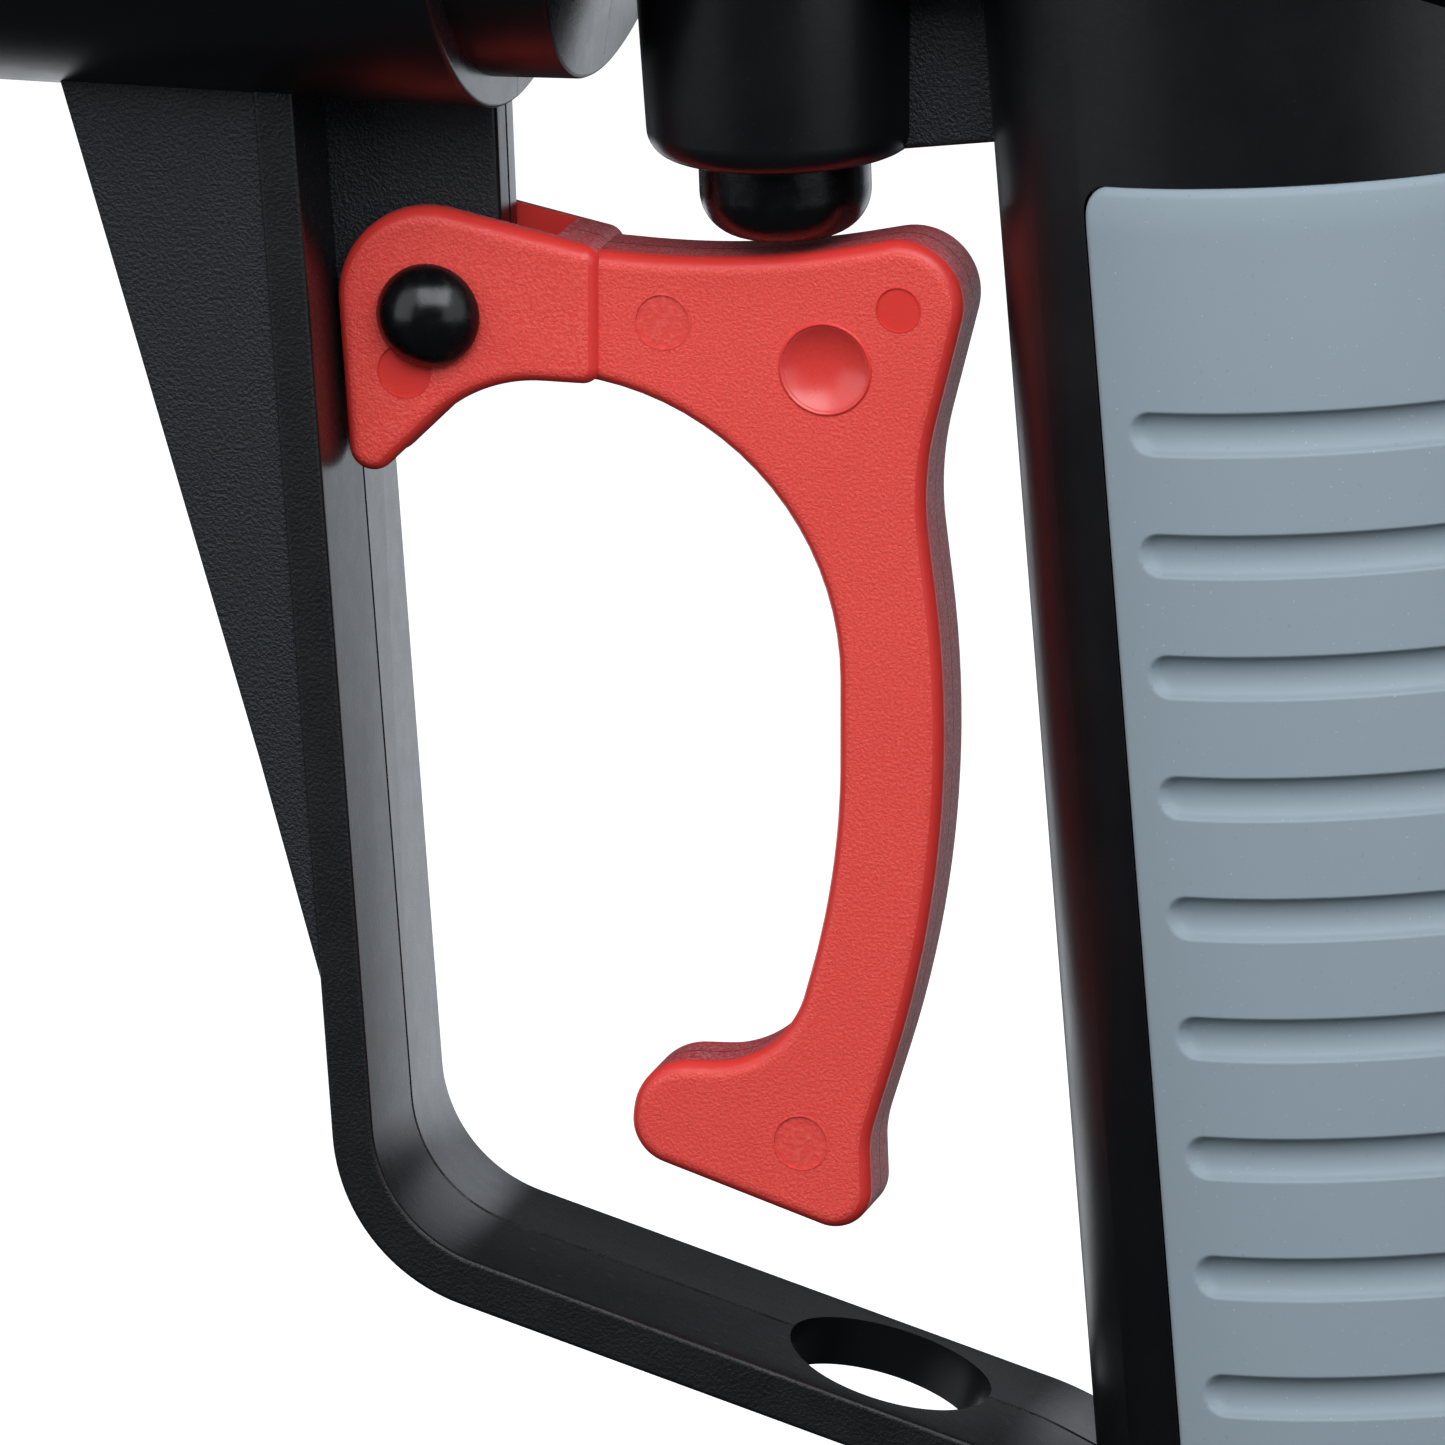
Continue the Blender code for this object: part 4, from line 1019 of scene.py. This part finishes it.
def trigger():
    # corners (x, z, fillet radius)
    lever = [
        (4.0, 6.9, 0.0), (29.0, 6.0, 85.0), (51.5, 11.0, 5.9), (45.5, -13.0, 30.0),
        (49.7, -46.3, 105.0), (40.8, -75.4, 10.0), (41.2, -85.4, 3.6), (18.1, -78.0, 4.2),
        (18.95, -69.4, 5.4), (32.8, -68.8, 9.5), (37.95, -50.0, 75.0), (37.9, -5.35, 26.8),
        (4.0, -5.35, 0.0),
    ]
    ears = [
        (strut_inner_x(11.9) + EAR_CLEARANCE, 11.9, 8.8), (EAR_REAR_X, 6.8, 1.7),
        (EAR_REAR_X, -5.85, 1.7), (4.5, -5.85, 14.0),
        (strut_inner_x(-17.9) + EAR_CLEARANCE, -17.9, 2.2),
    ]
    surfaces = [RED_FACE, RED_SMOOTH, RED_RIM]
    steps = 10
    flat_spans = 4  # the first spans of a rim, which lie almost in the flat face

    def layer(span):
        return 0 if span < flat_spans else 1 if span <= steps else 2

    def plate(name, corners, half):
        levels = rim_levels(half, TRIGGER_FILLET, steps)
        return slab(name, rounded(corners, 20), levels, DESIGN, surfaces, layer)

    made = plate("trigger_look", lever, TRIGGER_HALF)
    join(made, plate("ears", ears, EAR_HALF))
    slot = [(-20.0, 20.0), (-20.0, -30.0), (11.5, -30.0), (11.5, 20.0)]
    cut(made, slab("slot", slot, [(-EAR_SLOT_HALF, 0.0), (0.0, 0.0)], DESIGN, [RED_SMOOTH]))
    cut(made, rod("ear_holes", PIN_RADIUS + GAP, -10.0, 10.0, cross_frame(), RED_SMOOTH, 48))

    ball = DIMPLE_BALL_RADIUS
    depth = ball - sqrt(ball * ball - DIMPLE_RADIUS * DIMPLE_RADIUS)
    centre = TRIGGER_HALF - depth + ball
    profile = [(0.0, centre - ball)]
    count = 24
    for step in range(1, count + 1):
        angle = pi / 3.0 * step / count
        profile.append((ball * sin(angle), centre - ball * cos(angle)))
    profile.append((0.0, profile[-1][1] + 1.0))
    place = cross_frame(*DIMPLE_CENTRE)
    ring = arc_profile(DIMPLE_RADIUS + 0.25, TRIGGER_HALF - 0.04, 0.22, 0.0, 330.0, 10)
    join(made, turned("dimple_ring", ring, place, RED_SMOOTH, 96))
    cut(made, turned("dimple", profile, place, RED_GLOSSY, 96))

    ejector_mark(made, 21.6, 0.4, 2.5, TRIGGER_HALF, 0.13, RED_MARK)
    ejector_mark(made, 43.6, 2.9, 2.0, TRIGGER_HALF, 0.11, RED_SMOOTH)
    ejector_mark(made, 34.6, -75.9, 2.5, TRIGGER_HALF, 0.14, RED_MARK)
    ejector_mark(made, -2.4, -5.4, 2.45, EAR_HALF, 0.11, RED_SMOOTH)
    stands_for(made, "trigger", 26.0)


def domed_head():
    """Profile of a pin's head outside the ears: a short rim, then a part of a ball."""
    steps = 20
    radius, height = PIN_HEAD_RADIUS, PIN_HEAD_HEIGHT
    ball = (radius * radius + height * height) / (2.0 * height)
    reach = asin(radius / ball)
    base = PIN_FACE + PIN_HEAD_RIM
    points = [(radius, PIN_FACE)]
    for step in range(steps):
        angle = reach * (1.0 - step / steps)
        points.append((ball * sin(angle), base + (ball * (cos(angle) - 1.0) + height)))
    return points + [(0.0, base + height)]


def pin():
    far = -PIN_FACE - 1.6
    profile = [(0.0, far), (PIN_RADIUS, far), (PIN_RADIUS, PIN_FACE)] + domed_head()
    stands_for(turned("pin_look", profile, cross_frame(), GLOSS, 96), "trigger_pin")


def pin_cap():
    place = cross_frame(side=-1.0)
    made = turned("pin_cap_look", [(0.0, PIN_FACE)] + domed_head(), place, GLOSS, 96)
    socket = (PIN_RADIUS + 0.2, PIN_FACE - 1.0, PIN_FACE + 1.9)
    cut(made, rod("cap_socket", *socket, place, GLOSS, 48))
    stands_for(made, "trigger_pin_cap")


def plunger():
    corner = PLUNGER_CORNER
    collar_radius = VALVE_BORE - 0.4
    profile = [(0.0, PLUNGER_BOTTOM)]
    profile += arc_profile(PLUNGER_RADIUS - corner, PLUNGER_BOTTOM + corner, corner, -90.0, 0.0, 16)
    profile += [
        (PLUNGER_RADIUS, 3.5), (collar_radius, 3.5), (collar_radius, 5.5),
        (2.6, 5.5), (2.6, 12.0), (0.0, 12.0),
    ]
    stands_for(turned("plunger_look", profile, VALVE, GLOSS, 96), "valve_plunger")


# ======== the rest of the outside

def barrel():
    inner = TUBE_RADIUS - TUBE_WALL
    edge = 0.3
    profile = [
        (inner, TUBE_FRONT_X + edge), (inner + edge, TUBE_FRONT_X),
        (TUBE_RADIUS - edge, TUBE_FRONT_X), (TUBE_RADIUS, TUBE_FRONT_X + edge),
        (TUBE_RADIUS, TUBE_REAR_X), (inner, TUBE_REAR_X),
    ]
    stands_for(turned("barrel_look", profile, BARREL, ALLOY, 160), "barrel_tube")


def lobed(profile, outer, lobes, depth):
    """Rings whose outermost ones dip between the lobes."""
    rings = []
    count = lobes * 12
    for radius, height in profile:
        ring = []
        for step in range(count):
            angle = 2.0 * pi * step / count
            share = max(0.0, 1.0 - (outer - radius) / (outer * 0.1))
            dip = depth * share * (0.5 - 0.5 * cos(angle * lobes)) ** 1.5
            reach = radius - dip
            ring.append((reach * cos(angle), reach * sin(angle), height))
        rings.append(ring)
    return rings


def collar():
    profile = [(NOZZLE_OPENING_RADIUS, COLLAR_FRONT_X + 0.5)]
    profile.append((NOZZLE_OPENING_RADIUS + 0.5, COLLAR_FRONT_X))
    profile += arc_profile(COLLAR_RADIUS - 2.2, COLLAR_FRONT_X + 2.2, 2.2, 270.0, 360.0, 6)
    profile += arc_profile(COLLAR_RADIUS - 1.0, COLLAR_REAR_X - 1.0, 1.0, 0.0, 90.0, 4)
    profile += [
        (TUBE_RADIUS + 0.4, COLLAR_REAR_X), (TUBE_RADIUS + 0.4, TUBE_FRONT_X - GAP),
        (NOZZLE_OPENING_RADIUS, TUBE_FRONT_X - GAP - 0.7),
    ]
    rings = lobed(profile, COLLAR_RADIUS, 12, 1.0)
    stands_for(lofted("collar_look", rings, BARREL, [SMOOTH], closed=True), "front_collar")


def bonnet():
    low = DIAPHRAGM_X + 2.0
    rear = HOUSING_REAR_X + GAP
    rim = REGULATOR_BORE - GAP
    profile = [
        (12.4, low), (rim, low), (rim, rear), (20.6, rear), (20.6, rear + 1.8),
        (19.8, rear + 2.6), (3.3, rear + 2.6), (3.3, 101.0), (12.4, 101.0),
    ]
    stands_for(turned("bonnet_look", profile, BARREL, ALLOY, 96), "regulator_bonnet")


def knob():
    front = HOUSING_REAR_X + 3.3
    rear = KNOB_REAR_X
    profile = [(3.3, front), (15.5, front)]
    profile += arc_profile(KNOB_RADIUS - 1.6, front + 1.6, 1.6, 270.0, 360.0, 5)
    profile += arc_profile(KNOB_RADIUS - 2.2, rear - 2.5, 2.2, 0.0, 90.0, 6)
    profile += [(11.0, rear - 0.3), (10.0, rear), (8.0, rear), (3.3, rear)]
    rings = lobed(profile, KNOB_RADIUS, KNOB_LOBES, 1.4)
    made = lofted("knob_look", rings, BARREL, [SMOOTH], closed=True)
    join(made, rod("knob_crown", 6.0, rear - 5.5, rear - 0.2, BARREL, SMOOTH))
    stands_for(made, "regulator_knob")


def top_plug():
    seat = VALVE_TOP + GAP
    profile = [
        (0.0, 54.4), (3.6, 54.4), (3.6, 55.4), (VALVE_BORE - GAP, 55.4), (VALVE_BORE - GAP, seat),
        (11.4, seat), (11.4, 67.0), (11.1, 67.6), (10.4, 68.0), (0.0, 68.0),
    ]
    made = turned("plug_look", profile, VALVE, ALLOY_CAP, 96)
    cut(made, hexagon("key_socket", 8.0, 63.0, 70.0, VALVE, ALLOY_CAP))
    stands_for(made, "valve_top_plug")


def bush():
    low = HANDLE_LOW
    made = hexagon("bush_look", 20.0, low - 7.0, low - GAP, INLET, BRASS)
    join(made, rod("bush_thread", 7.7, low - 1.5, low + 12.0, INLET, BRASS))
    cut(made, rod("bush_bore", 5.3, low - 12.0, low + 16.0, INLET, BRASS))
    stands_for(made, "inlet_bush")


def below_handle(profile):
    """A profile whose heights are given from the handle's foot."""
    return [(radius, HANDLE_LOW + height) for radius, height in profile]


def nipple():
    profile = below_handle([
        (2.6, -32.0), (3.5, -32.0), (4.0, -31.7), (4.3, -31.0), (4.3, -24.5), (4.5, -24.0),
        (5.0, -23.5), (5.0, -20.5), (4.5, -20.0), (3.9, -19.5), (3.9, -17.0), (5.9, -15.6),
        (5.9, -10.5), (8.3, -10.0), (8.6, -9.7), (8.6, -7.6), (8.3, -7.3), (4.9, -7.3),
        (4.9, 1.4), (4.0, 1.4), (4.0, 3.2), (4.9, 3.2), (4.9, 11.0), (2.6, 11.0),
    ])
    stands_for(turned("nipple_look", profile, INLET, STEEL, 72), "inlet_nipple")


def silencer():
    profile = below_handle([
        (0.0, -5.0), (5.0, -5.0), (6.4, -4.0), (7.2, -2.6), (7.2, -GAP),
        (6.0, -GAP), (6.0, 8.0), (3.6, 8.0), (3.6, 1.0), (0.0, 1.0),
    ])
    made = turned("silencer_look", profile, EXHAUST, BRONZE, 64)
    slot = below_handle([(-9.0, -8.0), (9.0, -8.0), (9.0, -3.8), (-9.0, -3.8)])
    cut(made, slab("driver_slot", slot, [(-0.7, 0.0), (0.0, 0.0)], EXHAUST, [BRONZE]))
    stands_for(made, "exhaust_silencer")


def gives_way(piece):
    """Gives a springy piece its own copy of its mesh."""
    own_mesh(piece)


def spring(node, radius, wire, low, high, turns, place, joint, fixed, travel):
    """A round-wire compression spring."""
    around = 28
    sides = 12
    rings = []
    rise = high - low - 2.0 * wire
    slope = tan(atan2(rise / turns, 2.0 * pi * radius))
    for step in range(int(turns * around) + 1):
        angle = 2.0 * pi * step / around
        climbed = rise * angle / (2.0 * pi * turns)
        outward = Vector((cos(angle), sin(angle), 0.0))
        centre = Vector((
            radius * cos(angle), radius * sin(angle), low + wire + climbed,
        ))
        along = Vector((-sin(angle), cos(angle), slope)).normalized()
        across = along.cross(outward)
        ring = []
        for side in range(sides):
            spin = 2.0 * pi * side / sides
            ring.append(centre + (outward * cos(spin) + across * sin(spin)) * wire)
        rings.append(ring)
    made = stands_for(lofted(node + "_look", rings, place, [STEEL]), node, 50.0)
    gives_way(made)


def diaphragm():
    """The rubber disc."""
    low = DIAPHRAGM_X + GAP
    rim = REGULATOR_BORE - GAP
    thickness = 1.4
    profile = [
        (0.0, low), (10.5, low), (11.2, low + 0.25), (11.9, low), (rim, low),
        (rim, low + thickness), (0.0, low + thickness),
    ]
    made = turned("diaphragm_look", profile, BARREL, SEAL, 64)
    stands_for(made, "regulator_diaphragm")
    gives_way(made)


def dress_inner_pieces():
    """Materials for the CAD pieces that keep their own meshes."""
    by_slot = {
        "black_moulding": SMOOTH, "grey_rubber": RUBBER, "red_moulding": RED_FACE,
        "gloss_black": GLOSS, "brass": BRASS, "anodised_alloy": ALLOY, "seal_rubber": SEAL,
        "steel": STEEL, "piston_plastic": ACETAL, "sintered_bronze": BRONZE,
    }
    for node, piece in frame["nodes"].items():
        piece.data.materials.clear()
        piece.data.materials.append(by_slot[SLOT_OF[node]])


# ======== floor, light and camera

def floor():
    low = CAD_BOX[0].z - 0.002
    size = 12.0
    corners = [(-size, -size, low), (size, -size, low), (size, size, low), (-size, size, low)]
    mesh = bpy.data.meshes.new("floor")
    mesh.from_pydata(corners, [], [(0, 1, 2, 3)])
    made = add_object("floor", mesh)
    paint = bpy.data.materials.new("pale_floor")
    paint.use_nodes = True
    tree = paint.node_tree
    set_inputs(tree, tree.nodes["Principled BSDF"], {
        "Base Color": (0.80, 0.80, 0.80, 1.0), "Roughness": 0.9, "Specular IOR Level": 0.0,
        "Emission Color": (1.0, 1.0, 1.0, 1.0), "Emission Strength": 0.85,
    })
    mesh.materials.append(paint)
    made.visible_glossy = False
    made.visible_diffuse = False


def looking_at(aim, name, data, azimuth, elevation, distance):
    """Puts a lamp or a camera at a distance from what it looks at; the angles are in degrees."""
    a = radians(azimuth)
    e = radians(elevation)
    away = Vector((sin(a) * cos(e), -cos(a) * cos(e), sin(e)))
    made = add_object(name, data)
    made.location = aim + away * distance
    made.rotation_mode = "QUATERNION"
    made.rotation_quaternion = away.to_track_quat("Z", "Y")
    return made


def softbox(name, aim, azimuth, elevation, distance, width, height, radiance):
    """A rectangular light; its power follows from its radiance."""
    lamp = bpy.data.lights.new(name, "AREA")
    lamp.shape = "RECTANGLE"
    lamp.size = width
    lamp.size_y = height
    lamp.energy = radiance * pi * width * height
    lamp.color = (0.94, 0.98, 1.03)
    looking_at(aim, name, lamp, azimuth, elevation, distance).visible_camera = False


# Bright patches round the object: direction, degrees where it is full and where it ends, radiance
PATCHES = (
    ((0.28, 0.93, -0.23), 9.0, 20.0, 1.25),
    ((0.22, 0.93, 0.29), 8.0, 17.5, 1.00),
)
DIM = 0.045  # radiance of the rest of the room


def world():
    """White to the camera; to the object, a dim room with a few soft bright patches."""
    made = bpy.data.worlds.new("studio")
    made.use_nodes = True
    tree = made.node_tree
    tree.nodes.clear()
    place = add_node(tree, "ShaderNodeTexCoord", {}).outputs["Generated"]
    total = DIM
    for direction, full, end, radiance in PATCHES:
        inputs = {0: place, 1: Vector(direction).normalized()}
        dot = add_node(tree, "ShaderNodeVectorMath", inputs, operation="DOT_PRODUCT")
        inputs = {
            "Value": dot.outputs["Value"], "From Min": cos(radians(end)),
            "From Max": cos(radians(full)), "To Min": 0.0, "To Max": radiance,
        }
        ramp = add_node(tree, "ShaderNodeMapRange", inputs, interpolation_type="SMOOTHSTEP")
        inputs = {0: ramp.outputs["Result"], 1: total}
        total = add_node(tree, "ShaderNodeMath", inputs, operation="ADD").outputs["Value"]
    dim = add_node(tree, "ShaderNodeBackground", {
        "Strength": total, "Color": (0.93, 0.98, 1.06, 1.0),
    })
    white = add_node(tree, "ShaderNodeBackground", {"Strength": 1.05})
    path = add_node(tree, "ShaderNodeLightPath", {})
    mix = add_node(tree, "ShaderNodeMixShader", {
        "Fac": path.outputs["Is Camera Ray"],
        1: dim.outputs["Background"],
        2: white.outputs["Background"],
    })
    add_node(tree, "ShaderNodeOutputWorld", {"Surface": mix.outputs["Shader"]})
    bpy.context.scene.world = made


TARGET = PIVOT + Vector((26.85, -3.08, -37.04)) * MM
VIEW_WIDTH = 0.1314
CAMERA_DISTANCE = 1.5
CAMERA_AZIMUTH = 15.0
CAMERA_ELEVATION = 15.0


def camera():
    lens = bpy.data.cameras.new("camera")
    lens.sensor_width = 36.0
    lens.lens = lens.sensor_width * CAMERA_DISTANCE / VIEW_WIDTH
    lens.clip_start = 0.05
    lens.clip_end = 50.0
    scene = bpy.context.scene
    scene.camera = looking_at(
        TARGET, "camera", lens, CAMERA_AZIMUTH, CAMERA_ELEVATION, CAMERA_DISTANCE,
    )
    scene.view_settings.view_transform = "Standard"


BEHIND_CUP = PIVOT + Vector((-36.0, -15.0, 22.0)) * MM

# name, aim, azimuth and elevation in degrees, distance, width, height, radiance
SOFTBOXES = (
    ("left_box", TARGET, -60.0, 22.0, 0.9, 1.05, 1.0, 1.5),
    ("right_box", TARGET, 56.0, 22.0, 0.9, 0.80, 1.0, 1.2),
    ("key_box", TARGET, 14.0, 46.0, 0.9, 1.00, 0.60, 4.9),
    ("cup_box", BEHIND_CUP, 210.0, -33.0, 0.30, 0.13, 0.13, 1.5),
)

# node, coil radius, wire radius, low and high ends, turns, frame, joint, fixed end, travel
SPRINGS = (
    ("valve_spring", 4.4, 0.55, 37.0, 54.1, 5.0, VALVE, "valve_stem_slide", 54.1, VALVE_TRAVEL),
    ("regulator_spring", 8.2, 0.9, 79.3, 94.3, 4.0, BARREL, "spring_seat_slide", 79.3,
     SEAT_TRAVEL),
    ("poppet_spring", 4.3, 0.45, 56.3, 66.3, 4.0, BARREL, "regulator_valve_slide", 56.3,
     POPPET_TRAVEL),
)

camera()
floor()
world()
for settings in SOFTBOXES:
    softbox(*settings)
dress_inner_pieces()
for make in (
    body, grip, trigger, pin, pin_cap, plunger, barrel, collar, bonnet, knob, top_plug, bush,
    nipple, silencer,
):
    make()
for settings in SPRINGS:
    spring(*settings)
diaphragm()
